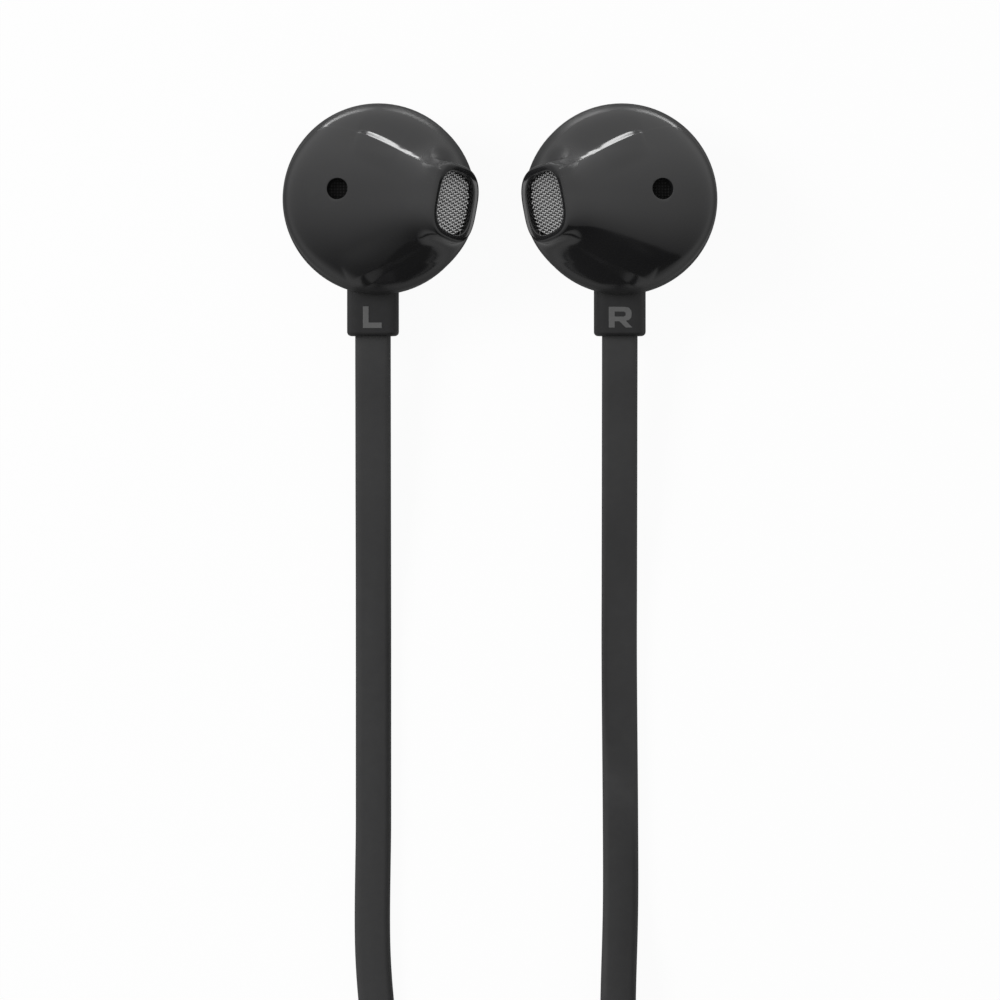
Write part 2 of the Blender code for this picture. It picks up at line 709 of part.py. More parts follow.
def make_neck(side, parent, neck_x):
    half_x, half_z = NECK_WIDTH / 2, NECK_DEPTH / 2
    middle = (neck_x, -NECK_DROP)
    edge = NECK_END_ROUNDING
    rings = [
        flat_ring(half_x, half_z, NECK_CORNER, -NECK_TOP, middle),
        flat_ring(half_x, half_z, NECK_CORNER, -NECK_REACH + edge, middle),
        flat_ring(half_x - edge * 0.3, half_z - edge * 0.3, NECK_CORNER, -NECK_REACH + edge * 0.3, middle),
        flat_ring(half_x - edge, half_z - edge, NECK_CORNER, -NECK_REACH, middle),
    ]
    sleeve = lofted(side + "_neck_sleeve", rings, SATIN_BLACK, parent)
    channel = lofted(side + "_cord_channel", [
        flat_ring(CORD_WIDTH / 2 + CORD_FIT, CORD_THICKNESS / 2 + CORD_FIT, CORD_THICKNESS / 2,
                  along, middle)
        for along in (-NECK_REACH - FIT_GAP, -NECK_TOP + FIT_GAP)
    ], None, parent)
    smooth(bake(boolean(sleeve, channel)))
    anchor_top = FRAME_BOTTOM - FIT_GAP
    anchor_y = -(NECK_TOP - CORD_THICKNESS)
    anchor = plate(
        side + "_cord_anchor",
        [rounded_rectangle(ANCHOR_WIDTH / 2, ANCHOR_LENGTH / 2, ANCHOR_LENGTH / 4)],
        anchor_top - ANCHOR_THICKNESS, anchor_top, SATIN_BLACK, parent,
    )
    anchor.data.transform(Matrix.Translation((neck_x, anchor_y + ANCHOR_LENGTH / 2, 0)))


def mirror_bud(left, right):
    """Copies every piece that the left earbud has so far, mirrored, into the right one."""
    flip = Matrix.Scale(-1, 4, (1, 0, 0))
    for piece in [found for found in PARTS.objects if found.parent == left]:
        mesh = piece.data.copy()
        mesh.transform(flip)
        mesh.flip_normals()
        add_object(piece.name.replace("left_", "right_"), mesh, piece.data.materials[0], right)


def make_buds():
    left = add_empty("left_earbud", (-BUD_X, BUD_Y, BOWL_DEPTH))
    right = add_empty("right_earbud", (BUD_X, BUD_Y, BOWL_DEPTH))
    shell = make_front_shell(left)
    make_grille(left)
    make_vent_screen(left, shell)
    make_driver(left)
    make_moving_driver(left)
    mirror_bud(left, right)
    for side, parent, neck_x in (
        ("left", left, LEFT_NECK_OFFSET), ("right", right, RIGHT_NECK_OFFSET),
    ):
        make_rear_shell(side, parent, neck_x)
        make_neck(side, parent, neck_x)


# ---------------------------------------------------------------- remote

REMOTE_MIDDLE = REMOTE_HEIGHT / 2
REMOTE_CENTRE_Y = REMOTE_TOP_Y - REMOTE_LENGTH / 2
BOARD_BOTTOM = REMOTE_WALL + FIT_GAP
BOARD_TOP = BOARD_BOTTOM + REMOTE_BOARD_THICKNESS
SWITCH_TOP = BOARD_TOP + BOND_GAP + SWITCH_HEIGHT
BUTTON_FLANGE_TOP = REMOTE_HEIGHT - REMOTE_WALL - FIT_GAP


def remote_outline(inset):
    half_x = REMOTE_WIDTH / 2 - inset
    return rounded_rectangle(half_x, REMOTE_LENGTH / 2 - inset, half_x, 6)


def cord_notch(name, parent):
    """Openings for the cord at both ends of the remote, at its joint."""
    return lofted(name, [
        flat_ring(CORD_WIDTH / 2 + CORD_FIT, CORD_THICKNESS / 2 + CORD_FIT, CORD_THICKNESS / 2,
                  along, (0, REMOTE_MIDDLE))
        for along in (-REMOTE_LENGTH, REMOTE_LENGTH)
    ], None, parent)


def remote_shell(name, bottom, top, hollow_bottom, hollow_top, parent):
    shell = plate(name, [remote_outline(0)], bottom, top, GLOSS_BLACK, parent)
    shell = bake(bevel(shell, REMOTE_ROUNDING, 2, 60))
    hollow = plate(name + "_hollow", [remote_outline(REMOTE_WALL)], hollow_bottom, hollow_top,
                   GLOSS_BLACK, parent)
    boolean(shell, hollow)
    boolean(shell, cord_notch(name + "_notch", parent))
    return shell


def trim_rounding(name, bottom, top, parent):
    """A block over the joint plane: the rounding belongs to the outer edges only."""
    return plate(name, [rounded_rectangle(REMOTE_WIDTH, REMOTE_LENGTH, REMOTE_WIDTH / 4)],
                 bottom, top, GLOSS_BLACK, parent)


def make_remote():
    parent = add_empty("remote", (REMOTE_X, REMOTE_CENTRE_Y, 0))
    joint_low = REMOTE_MIDDLE - SEAM_GAP / 2
    joint_high = REMOTE_MIDDLE + SEAM_GAP / 2
    beyond = REMOTE_ROUNDING * 2
    rear = remote_shell("remote_rear_shell", 0, joint_low + beyond, REMOTE_WALL, REMOTE_HEIGHT, parent)
    boolean(rear, trim_rounding("remote_rear_trim", joint_low, REMOTE_HEIGHT, parent))
    smooth(bake(rear))
    front = remote_shell("remote_front_shell", joint_high - beyond, REMOTE_HEIGHT, 0,
                         REMOTE_HEIGHT - REMOTE_WALL, parent)
    boolean(front, trim_rounding("remote_front_trim", -REMOTE_WALL, joint_high, parent))
    window = rounded_rectangle(BUTTON_WIDTH / 2 + BUTTON_GAP, BUTTON_LENGTH / 2 + BUTTON_GAP,
                               BUTTON_WIDTH / 2 + BUTTON_GAP)
    boolean(front, plate("remote_window", [window], REMOTE_MIDDLE, REMOTE_HEIGHT + REMOTE_WALL,
                         GLOSS_BLACK, parent))
    hole = cylinder("remote_microphone_hole", MICROPHONE_HOLE_RADIUS, REMOTE_MIDDLE,
                    REMOTE_HEIGHT + REMOTE_WALL, GLOSS_BLACK, parent, 12)
    hole.data.transform(Matrix.Translation((0, MICROPHONE_OFFSET, 0)))
    boolean(front, hole)
    smooth(bake(front))
    board_half = REMOTE_WIDTH / 2 - REMOTE_WALL - FIT_GAP
    board_length = REMOTE_LENGTH / 2 - REMOTE_WIDTH / 2
    plate("remote_board", [rounded_rectangle(board_half, board_length, board_half / 2)],
          BOARD_BOTTOM, BOARD_TOP, BOARD_GREEN, parent)
    switch_bottom = BOARD_TOP + BOND_GAP
    plate("remote_switch", [rounded_rectangle(SWITCH_SIZE / 2, SWITCH_SIZE / 2, SWITCH_SIZE / 8)],
          switch_bottom, SWITCH_TOP, STEEL, parent)
    microphone = plate(
        "remote_microphone",
        [rounded_rectangle(MICROPHONE_LENGTH / 2, MICROPHONE_LENGTH / 3, MICROPHONE_LENGTH / 8)],
        switch_bottom, switch_bottom + MICROPHONE_HEIGHT, STEEL, parent,
    )
    microphone.data.transform(Matrix.Translation((0, MICROPHONE_OFFSET, 0)))
    make_button(parent)


def button_ring(half_x, half_y, height):
    outline = rounded_rectangle(half_x, half_y, half_x, 4)
    return [Vector((across, along, height)) for across, along in outline]


def make_button(parent):
    """Cap, retaining flange under the shell, and a stem over the switch, all one moulding."""
    half_x, half_y = BUTTON_WIDTH / 2, BUTTON_LENGTH / 2
    edge = BUTTON_PROUD / 2
    top = REMOTE_HEIGHT + BUTTON_PROUD
    stem_bottom = SWITCH_TOP + BUTTON_TRAVEL + BOND_GAP
    flange_bottom = BUTTON_FLANGE_TOP - BUTTON_FLANGE
    stem = SWITCH_SIZE / 4
    rings = [
        button_ring(half_x - edge, half_y - edge, top),
        button_ring(half_x, half_y, top - edge),
        button_ring(half_x, half_y, BUTTON_FLANGE_TOP),
        button_ring(half_x + BUTTON_FLANGE, half_y + BUTTON_FLANGE, BUTTON_FLANGE_TOP),
        button_ring(half_x + BUTTON_FLANGE, half_y + BUTTON_FLANGE, flange_bottom),
        button_ring(stem, stem, flange_bottom),
        button_ring(stem, stem, stem_bottom),
    ]
    return lofted("remote_button", rings, GLOSS_BLACK, parent)


# ---------------------------------------------------------------- plug

def make_plug():
    parent = add_empty("plug", (MAIN_SHIFT, HANK_TOP_Y - PLUG_DROP, PLUG_RADIUS))
    parent.rotation_euler = (math.radians(-90), 0, 0)
    relief_start = PLUG_RELIEF_LENGTH
    turned("plug_grip", [
        (0, 0), (PLUG_RADIUS * 0.8, 0), (PLUG_RADIUS * 0.97, -PLUG_LENGTH * 0.03),
        (PLUG_RADIUS, -PLUG_LENGTH * 0.1), (PLUG_RADIUS, -PLUG_LENGTH * 0.9),
        (PLUG_RADIUS * 0.93, -PLUG_LENGTH), (0, -PLUG_LENGTH),
    ], GLOSS_BLACK, parent, SMALL_AROUND)
    rings = []
    for share, swell in ((0.04, 1.0), (0.35, 0.9), (0.7, 0.7), (1.0, 0.45)):
        half = CORD_THICKNESS / 2 + (PLUG_RADIUS * 0.7 - CORD_THICKNESS / 2) * swell
        wide = CORD_WIDTH / 2 + (PLUG_RADIUS * 0.7 - CORD_WIDTH / 2) * swell
        outline = rounded_rectangle(half, wide, half * 0.95)
        rings.append([Vector((x, y, relief_start * share + BOND_GAP)) for x, y in outline])
    lofted("plug_strain_relief", rings, SATIN_BLACK, parent)
    make_contacts(parent)


def make_contacts(parent):
    """Sleeve, two rings and tip round an insulating core whose collars part them."""
    start = -PLUG_LENGTH - BOND_GAP
    bore = PLUG_CORE_RADIUS + BOND_GAP / 2
    core = [(0, start), (PLUG_CORE_RADIUS, start)]
    place = start
    for name, length in (
        ("plug_sleeve_contact", PLUG_SLEEVE_LENGTH),
        ("plug_second_ring", PLUG_RING_LENGTH),
        ("plug_first_ring", PLUG_RING_LENGTH),
    ):
        ring = ring_profile(bore, PLUG_PIN_RADIUS, place - length, place)
        turned(name, ring, GOLD, parent, SMALL_AROUND, closed=True)
        place -= length + BOND_GAP / 2
        collar = PLUG_PIN_RADIUS * 0.98
        core += [(PLUG_CORE_RADIUS, place), (collar, place), (collar, place - PLUG_BAND)]
        core += [(PLUG_CORE_RADIUS, place - PLUG_BAND)]
        place -= PLUG_BAND + BOND_GAP / 2
    core_end = place + BOND_GAP / 2
    core = core[:-1] + [(0, core_end)]
    turned("plug_core", core, SATIN_BLACK, parent, SMALL_AROUND)
    tip = PLUG_TIP_LENGTH
    turned("plug_tip", [
        (0, place), (PLUG_PIN_RADIUS * 0.9, place), (PLUG_PIN_RADIUS * 0.65, place - tip * 0.25),
        (PLUG_PIN_RADIUS * 0.97, place - tip * 0.5), (PLUG_PIN_RADIUS * 0.7, place - tip * 0.85),
        (PLUG_PIN_RADIUS * 0.3, place - tip), (0, place - tip),
    ], GOLD, parent, SMALL_AROUND)


# ---------------------------------------------------------------- cords

NECK_CENTRE_Z = BOWL_DEPTH - NECK_DROP
LEFT_NECK_X = -BUD_X + LEFT_NECK_OFFSET
RIGHT_NECK_X = BUD_X + RIGHT_NECK_OFFSET
NECK_END_Y = BUD_Y - NECK_REACH
CORD_START_Y = BUD_Y - NECK_TOP
CORD_REST = CORD_THICKNESS / 2 + CORD_FIT
REMOTE_END_Y = REMOTE_TOP_Y - REMOTE_LENGTH
CORD_INSERT = REMOTE_WALL + FIT_GAP


def neck_route(x):
    """From inside the sleeve, straight out, and down on to the surface."""
    return [
        (x, CORD_START_Y, NECK_CENTRE_Z, 0),
        (x, NECK_END_Y - 0.002, NECK_CENTRE_Z, 0),
        (x, NECK_END_Y - 0.007, NECK_CENTRE_Z - 0.0007, 0),
        (x, NECK_END_Y - 0.014, (NECK_CENTRE_Z + CORD_REST) / 2, 0),
        (x, NECK_END_Y - 0.021, CORD_REST + 0.0004, 0),
        (x, NECK_END_Y - 0.029, CORD_REST, 0),
    ]


def make_cords():
    flat_cord("left_cord", neck_route(LEFT_NECK_X) + [
        (LEFT_NECK_X - 0.0001, -0.052, CORD_REST, 0),
        (LEFT_NECK_X, -0.065, CORD_REST, 0),
        (-0.0097, -0.0745, CORD_REST, 0),
        (-0.0062, -0.084, CORD_REST, 0),
        (-0.0010, -0.0925, CORD_REST, 0),
        (0.0036, -0.0990, CORD_REST + 0.0003, 0.4),
        (0.0075, -0.1055, HANK_MIDDLE - 0.0003, 1.2),
        (0.0108, -0.1116, HANK_MIDDLE, EDGE_ON),
    ])
    flat_cord("right_cord_upper", neck_route(RIGHT_NECK_X) + [
        (RIGHT_NECK_X - 0.0001, -0.052, CORD_REST, 0),
        (RIGHT_NECK_X - 0.0001, -0.060, CORD_REST + 0.0003, 0),
        (REMOTE_X, REMOTE_TOP_Y + 0.003, REMOTE_MIDDLE, 0),
        (REMOTE_X, REMOTE_TOP_Y - CORD_INSERT, REMOTE_MIDDLE, 0),
    ])
    flat_cord("right_cord_lower", [
        (REMOTE_X, REMOTE_END_Y + CORD_INSERT, REMOTE_MIDDLE, 0),
        (REMOTE_X, REMOTE_END_Y - 0.0015, REMOTE_MIDDLE, 0),
        (REMOTE_X + 0.0003, REMOTE_END_Y - 0.0050, REMOTE_MIDDLE, 0.6),
        (REMOTE_X + 0.0014, REMOTE_END_Y - 0.0090, HANK_MIDDLE, EDGE_ON),
        (REMOTE_X + 0.0033, REMOTE_END_Y - 0.0125, HANK_MIDDLE, EDGE_ON),
    ])
    relief_end = HANK_TOP_Y - PLUG_DROP + PLUG_RELIEF_LENGTH
    flat_cord("main_cord_tail", [
        (0.0031, HANK_UPPER_Y, HANK_MIDDLE, EDGE_ON),
        (0.0028, HANK_UPPER_Y - 0.0030, HANK_MIDDLE, EDGE_ON),
        (0.0014, HANK_UPPER_Y - 0.0060, HANK_MIDDLE, EDGE_ON),
        (-0.0004, HANK_UPPER_Y - 0.0090, HANK_MIDDLE, EDGE_ON),
        (MAIN_SHIFT, relief_end + 0.0015, PLUG_RADIUS - 0.0001, EDGE_ON),
        (MAIN_SHIFT, relief_end + 2 * FIT_GAP, PLUG_RADIUS, EDGE_ON),
    ])


def make_hank():
    centre_y = (HANK_UPPER_Y + HANK_LOWER_Y) / 2
    top = HANK_BOTTOM + HANK_HEIGHT
    outer = racetrack(HANK_HALF_WIDTH, HANK_RUN, 0, centre_y)
    inner = racetrack(HANK_HALF_WIDTH - HANK_PAIR_DEPTH, HANK_RUN, 0, centre_y)
    smooth(plate("branch_hank", [outer, inner], HANK_BOTTOM, top, CORD_BLACK))
    outer = racetrack(MAIN_HALF_WIDTH, HANK_RUN, MAIN_SHIFT, centre_y)
    inner = racetrack(MAIN_HALF_WIDTH - MAIN_DEPTH, HANK_RUN, MAIN_SHIFT, centre_y)
    smooth(plate("main_hank", [outer, inner], HANK_BOTTOM, top, CORD_BLACK))


def make_splitter():
    """The moulded joint where both branches meet the main cord, standing on edge in the hank."""
    rings = []
    for share, swell in ((0, 0.72), (0.06, 0.86), (0.3, 1), (0.6, 1), (0.95, 0.62), (1, 0.5)):
        along = HANK_UPPER_Y - SPLITTER_DROP + SPLITTER_LENGTH * (0.5 - share)
        rings.append(flat_ring(
            SPLITTER_WIDTH / 2 * swell, SPLITTER_HEIGHT / 2 * (0.5 + swell / 2),
            SPLITTER_WIDTH / 4, along, (SPLITTER_X, HANK_MIDDLE),
        ))
    lofted("cord_splitter", rings, SATIN_BLACK)


def make_tie():
    """A flat strap round both sides of the hank."""
    inner_x = HANK_HALF_WIDTH + FIT_GAP
    inner_z = HANK_HEIGHT / 2 + FIT_GAP
    outer_radius = TIE_THICKNESS + FIT_GAP
    outline = rounded_rectangle(inner_x + TIE_THICKNESS, inner_z + TIE_THICKNESS, outer_radius)
    hole = rounded_rectangle(inner_x, inner_z, FIT_GAP)
    strap = plate("cord_tie", [outline, hole], -TIE_WIDTH / 2, TIE_WIDTH / 2, SATIN_BLACK)
    turn = Matrix.Rotation(math.radians(90), 4, "X")
    place = Matrix.Translation((0, HANK_TOP_Y - TIE_DROP, HANK_MIDDLE))
    strap.data.transform(place @ turn)
    smooth(strap)


make_buds()
make_remote()
make_plug()
make_cords()
make_hank()
make_splitter()
make_tie()
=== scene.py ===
# %% [markdown]
# # Wired earphones on flat cords
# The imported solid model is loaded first. It is the fixed frame: every piece made here takes its
# place from it, in metres, with +X from the left earbud to the right one, +Y away from the cords,
# and +Z up.

# %% Load the frame
import math

import bpy
import numpy as np
from mathutils import Matrix, Vector


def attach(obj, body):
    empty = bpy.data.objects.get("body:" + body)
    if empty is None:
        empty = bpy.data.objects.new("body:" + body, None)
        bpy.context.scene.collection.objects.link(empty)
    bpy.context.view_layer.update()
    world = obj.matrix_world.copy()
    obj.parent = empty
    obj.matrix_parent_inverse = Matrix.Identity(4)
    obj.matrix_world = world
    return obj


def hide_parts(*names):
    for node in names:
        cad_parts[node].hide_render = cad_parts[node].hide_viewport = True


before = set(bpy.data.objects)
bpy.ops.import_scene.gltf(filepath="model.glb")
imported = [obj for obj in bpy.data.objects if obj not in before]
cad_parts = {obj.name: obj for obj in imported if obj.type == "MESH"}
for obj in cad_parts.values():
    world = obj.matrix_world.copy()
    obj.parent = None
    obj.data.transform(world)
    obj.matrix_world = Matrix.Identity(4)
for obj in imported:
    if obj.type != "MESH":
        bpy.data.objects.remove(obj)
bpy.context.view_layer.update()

# %% [markdown]
# ## The camera
# The earphones lie on their backs and the camera looks straight down, so the picture's up is +Y. A
# long lens from far away keeps both earbuds square to the picture. One pixel of a 1000 pixel
# picture is 0.0867 mm at the height of the joint round each earbud.

# %% Camera
MM = 0.001
PIXEL = 0.0867 * MM
JOINT_HEIGHT = 6.2 * MM
PICTURE_WIDTH = 1000 * PIXEL
PICTURE_CENTRE_Y = -(500 - 219.4) * PIXEL


def linked(name, data):
    """A new object in the scene."""
    made = bpy.data.objects.new(name, data)
    bpy.context.scene.collection.objects.link(made)
    return made


camera_data = bpy.data.cameras.new("camera")
camera_data.lens = 300
camera_data.sensor_width = 36
camera_data.clip_start = 0.02
camera = linked("camera", camera_data)
distance = PICTURE_WIDTH * camera_data.lens / camera_data.sensor_width
camera.location = (0, PICTURE_CENTRE_Y, JOINT_HEIGHT + distance)
bpy.context.scene.camera = camera
bpy.context.scene.view_settings.view_transform = "Standard"
print("camera height:", round(1000 * camera.location.z), "mm")

# %% [markdown]
# ## Finishes as Python expressions
# A material here is a small network of nodes. The class Signal wraps one output socket, so that
# adding or multiplying two signals adds the Math node that does it. Every other kind of node comes
# from one method, Network.node. A number that is the same all over the surface is set on the
# shader.

# %% Shader helpers
class Signal:
    """One output of a node. Arithmetic on it adds Math nodes."""

    def __init__(self, network, socket):
        self.network = network
        self.socket = socket

    def __add__(self, other):
        return self.network.maths("ADD", self, other)

    def __radd__(self, other):
        return self.network.maths("ADD", other, self)

    def __sub__(self, other):
        return self.network.maths("SUBTRACT", self, other)

    def __rsub__(self, other):
        return self.network.maths("SUBTRACT", other, self)

    def __mul__(self, other):
        return self.network.maths("MULTIPLY", self, other)

    def __gt__(self, other):
        return self.network.maths("GREATER_THAN", self, other)


class Network:
    """The nodes of one material or world."""

    def __init__(self, owner):
        owner.use_nodes = True
        self.tree = owner.node_tree

    def node(self, kind, settings=None, sockets=None, output=0):
        made = self.tree.nodes.new(kind)
        for name, value in (settings or {}).items():
            setattr(made, name, value)
        for name, value in (sockets or {}).items():
            self.feed(made.inputs[name], value)
        return Signal(self, made.outputs[output])

    def feed(self, socket, value):
        if isinstance(value, Signal):
            self.tree.links.new(value.socket, socket)
        else:
            socket.default_value = value

    def maths(self, operation, first, second=0.0):
        return self.node("ShaderNodeMath", {"operation": operation}, {0: first, 1: second})

    def ramp(self, value, start, end, first, last, shape="LINEAR"):
        """Goes from first, where the value is at start, to last, where it is at end."""
        return self.node("ShaderNodeMapRange", {"interpolation_type": shape}, {
            "Value": value, "From Min": start, "From Max": end, "To Min": first, "To Max": last,
        }, "Result")

    def wave(self, place, direction, scale):
        """Bands of light and dark that follow each other in a direction."""
        return self.node("ShaderNodeTexWave", {"bands_direction": direction},
                         {"Vector": place, "Scale": scale}, "Fac")


class Finish(Network):
    """A material with one Principled shader, and the nodes that feed it."""

    def __init__(self, name, **constants):
        self.material = bpy.data.materials.new(name)
        super().__init__(self.material)
        self.shader = self.tree.nodes["Principled BSDF"]
        for socket, value in constants.items():
            self.shader.inputs[socket.replace("_", " ")].default_value = value

    def use(self, **signals):
        for socket, value in signals.items():
            self.feed(self.shader.inputs[socket.replace("_", " ")], value)
        return self

    def place(self):
        """Object coordinates, which are metres in the frame."""
        return self.node("ShaderNodeTexCoord", output="Object")

    def noise(self, size, detail=3.0, roughness=0.5):
        """Noise from 0 to 1 whose features are about size metres across."""
        return self.node("ShaderNodeTexNoise", {}, {
            "Vector": self.place(), "Scale": 1 / size, "Detail": detail, "Roughness": roughness,
        }, "Fac")

    def blend(self, share, first, second):
        """A colour between two colours."""
        return self.node(
            "ShaderNodeMix", {"data_type": "RGBA"}, {0: share, 6: (*first, 1), 7: (*second, 1)}, 2
        )

    def bump(self, height, strength, distance):
        return self.node("ShaderNodeBump", {}, {
            "Height": height, "Strength": strength, "Distance": distance,
        })


# %% [markdown]
# ## The finishes
# Moulded plastic is never one flat value: its gloss wanders a little and its surface has a faint
# long wave. A mould is polished less well where a tool can't reach, so the heads are duller in the
# crease round their joint and in the saddle above the nozzle. Rubber has a fine grain. Each of
# these is noise at the right size on Object coordinates.

# %% Black plastics and rubbers
SEAM_MIDDLE = JOINT_HEIGHT + 0.1 * MM
SADDLE_X, SADDLE_Y = 5.3 * MM, 4.87 * MM
gloss_black = Finish("gloss_black_plastic", IOR=1.5)
gloss_cloud = gloss_black.noise(4 * MM, 2)
across, along, height = (
    gloss_black.node("ShaderNodeSeparateXYZ", {}, {"Vector": gloss_black.place()}, axis)
    for axis in "XYZ"
)
from_seam = gloss_black.maths("ABSOLUTE", height - SEAM_MIDDLE)
dull_at_seam = gloss_black.ramp(from_seam, 1.2 * MM, 1.9 * MM, 0.36, 0.0)
aside = gloss_black.maths("ABSOLUTE", across) - SADDLE_X
ahead = along - SADDLE_Y
dull_at_saddle = gloss_black.ramp(
    aside * aside + ahead * ahead, (1.05 * MM) ** 2, (1.7 * MM) ** 2, 0.34, 0.0
)
dulled = gloss_black.maths("MAXIMUM", dull_at_seam, dull_at_saddle)
gloss_black.use(
    Base_Color=gloss_black.blend(gloss_cloud, (0.0065, 0.0065, 0.007), (0.0095, 0.0095, 0.010)),
    Roughness=gloss_black.noise(1.2 * MM, 4) * 0.05 + 0.12 + dulled,
    Normal=gloss_black.bump(gloss_black.noise(2.5 * MM, 1), 0.05, 0.02 * MM),
)


def moulded(name, ior, tone, colours, gloss, roughness):
    """Plastic or rubber, whose tone and gloss each follow a noise of (size, detail)."""
    made = Finish(name, IOR=ior)
    least, most = roughness
    return made.use(
        Base_Color=made.blend(made.noise(*tone), *colours),
        Roughness=made.noise(*gloss) * (most - least) + least,
    )


satin_black = moulded("satin_black_rubber", 1.35, (0.8 * MM, 4),
                      ((0.011, 0.011, 0.0115), (0.017, 0.017, 0.0175)), (0.5 * MM, 4), (0.36, 0.48))
satin_black.use(Normal=satin_black.bump(satin_black.noise(0.06 * MM, 2), 0.25, 0.01 * MM))

cord_black = moulded("matt_black_cord", 1.45, (1.5 * MM, 5, 0.6),
                     ((0.021, 0.021, 0.0215), (0.029, 0.029, 0.0295)), (0.7 * MM, 4), (0.5, 0.64))
cord_black.use(Normal=cord_black.bump(cord_black.noise(0.09 * MM, 3), 0.3, 0.012 * MM))

letter_grey = moulded("letter_grey", 1.48, (0.3 * MM, 3),
                      ((0.085, 0.085, 0.085), (0.11, 0.11, 0.11)), (0.2 * MM, 3), (0.5, 0.6))

# %% [markdown]
# ## Metals and the inside
# The mesh, switch and microphone can are steel, the plug is gold over brass, the driver's iron
# parts are nickel plated, its magnet is dull, and its coil is wound of copper, whose turns are a
# wave along Z.

# %% Metals
def metal(name, dark, light, low_gloss, high_gloss, size):
    """A metal whose tone and gloss both wander over features of the given size."""
    made = Finish(name, Metallic=1.0)
    made.use(
        Base_Color=made.blend(made.noise(size, 4), dark, light),
        Roughness=made.noise(size / 3, 4) * (high_gloss - low_gloss) + low_gloss,
    )
    return made


mesh_steel = metal("mesh_steel", (0.36, 0.36, 0.36), (0.5, 0.5, 0.5), 0.28, 0.42, 0.4 * MM)
can_steel = metal("can_steel", (0.5, 0.5, 0.49), (0.62, 0.62, 0.61), 0.2, 0.35, 1.0 * MM)
nickel = metal("nickel_plate", (0.5, 0.48, 0.44), (0.62, 0.6, 0.55), 0.15, 0.3, 2.0 * MM)
magnet_alloy = metal("magnet_alloy", (0.2, 0.2, 0.21), (0.3, 0.3, 0.31), 0.4, 0.6, 0.3 * MM)
gold = metal("gold_plate", (0.78, 0.55, 0.22), (0.88, 0.66, 0.3), 0.1, 0.22, 1.5 * MM)

WINDING_SCALE = 1 / (0.314 * 0.1 * MM) / 20
copper = Finish("copper_winding", Metallic=1.0)
turns = copper.wave(copper.place(), "Z", WINDING_SCALE)
copper.use(
    Base_Color=copper.blend(turns, (0.35, 0.12, 0.05), (0.85, 0.38, 0.18)),
    Roughness=turns * 0.15 + 0.25,
    Normal=copper.bump(turns, 0.6, 0.02 * MM),
)

# %% [markdown]
# The remaining finishes are plastics, cloth and the green board. Cloth is two crossed waves: where
# they meet, a thread shows, and between threads the cloth is darker.

# %% Plastics, cloth and boards
frame_plastic = moulded("driver_frame_plastic", 1.5, (1.5 * MM, 3),
                        ((0.52, 0.52, 0.5), (0.66, 0.66, 0.63)), (0.6 * MM, 3), (0.4, 0.52))

film = Finish("diaphragm_film", IOR=1.55)
rings = film.noise(0.35 * MM, 2)
film.use(
    Base_Color=film.blend(rings, (0.5, 0.42, 0.26), (0.72, 0.64, 0.44)),
    Roughness=rings * 0.1 + 0.15,
    Normal=film.bump(rings, 0.2, 0.02 * MM),
)

THREAD_SCALE = 1200.0
cloth = Finish("acoustic_cloth", IOR=1.45)
weave = (cloth.wave(cloth.place(), "X", THREAD_SCALE)
         * cloth.wave(cloth.place(), "Y", THREAD_SCALE))
cloth.use(
    Base_Color=cloth.blend(weave, (0.004, 0.004, 0.004), (0.02, 0.02, 0.02)),
    Roughness=1 - weave * 0.2,
    Normal=cloth.bump(weave, 0.5, 0.02 * MM),
)

board_green = Finish("circuit_board", IOR=1.5)
speckle = board_green.noise(0.5 * MM, 1)
tracks = board_green.node(
    "ShaderNodeTexVoronoi", {"distance": "CHEBYCHEV"},
    {"Vector": board_green.place(), "Scale": 900.0}, "Distance",
) > 0.45
board_green.use(
    Base_Color=board_green.blend(tracks, (0.01, 0.11, 0.04), (0.03, 0.2, 0.07)),
    Roughness=speckle * 0.15 + 0.3,
)

# %% [markdown]
# ## The cords
# A flat cord is a curve with a flat bevel: half its thickness as a round bevel, and the rest of
# its width as an extrusion. Its tilt turns it, flat on the surface or on its edge in the hank. The
# routes repeat the points of the solids, and then carry on through the wound length that the
# solids only stand in for.

# %% Sizes that the cords need
HEAD_RADIUS = 8.3 * MM
BUD_X = HEAD_RADIUS + 2.25 * MM
BUD_Y = 3.53 / 2 * MM
NECK_END_Y = BUD_Y - HEAD_RADIUS - 3.53 * MM
NECK_X = {"left": -BUD_X - 0.5 * MM, "right": BUD_X - 0.13 * MM}
NECK_Z = JOINT_HEIGHT - 2.6 * MM
CORD_WIDTH = 3.1 * MM
CORD_THICKNESS = 1.2 * MM
REST = 0.75 * MM
HANK_Z = 2.45 * MM
HANK_UPPER_Y = -128.8 * MM
HANK_LOWER_Y = -180.8 * MM
REMOTE_X = 10.3 * MM
REMOTE_TOP_Y = -70.5 * MM
REMOTE_END_Y = -100.5 * MM
REMOTE_Z = 2.7 * MM
PLUG_AXIS_X = -1.6 * MM
PLUG_AXIS_Z = 3.3 * MM
RELIEF_END_Y = -141.5 * MM
SPLITTER_X = 13.8 * MM
SPLITTER_Y = -156.8 * MM
SPLITTER_LENGTH = 14 * MM
ON_EDGE = math.pi / 2


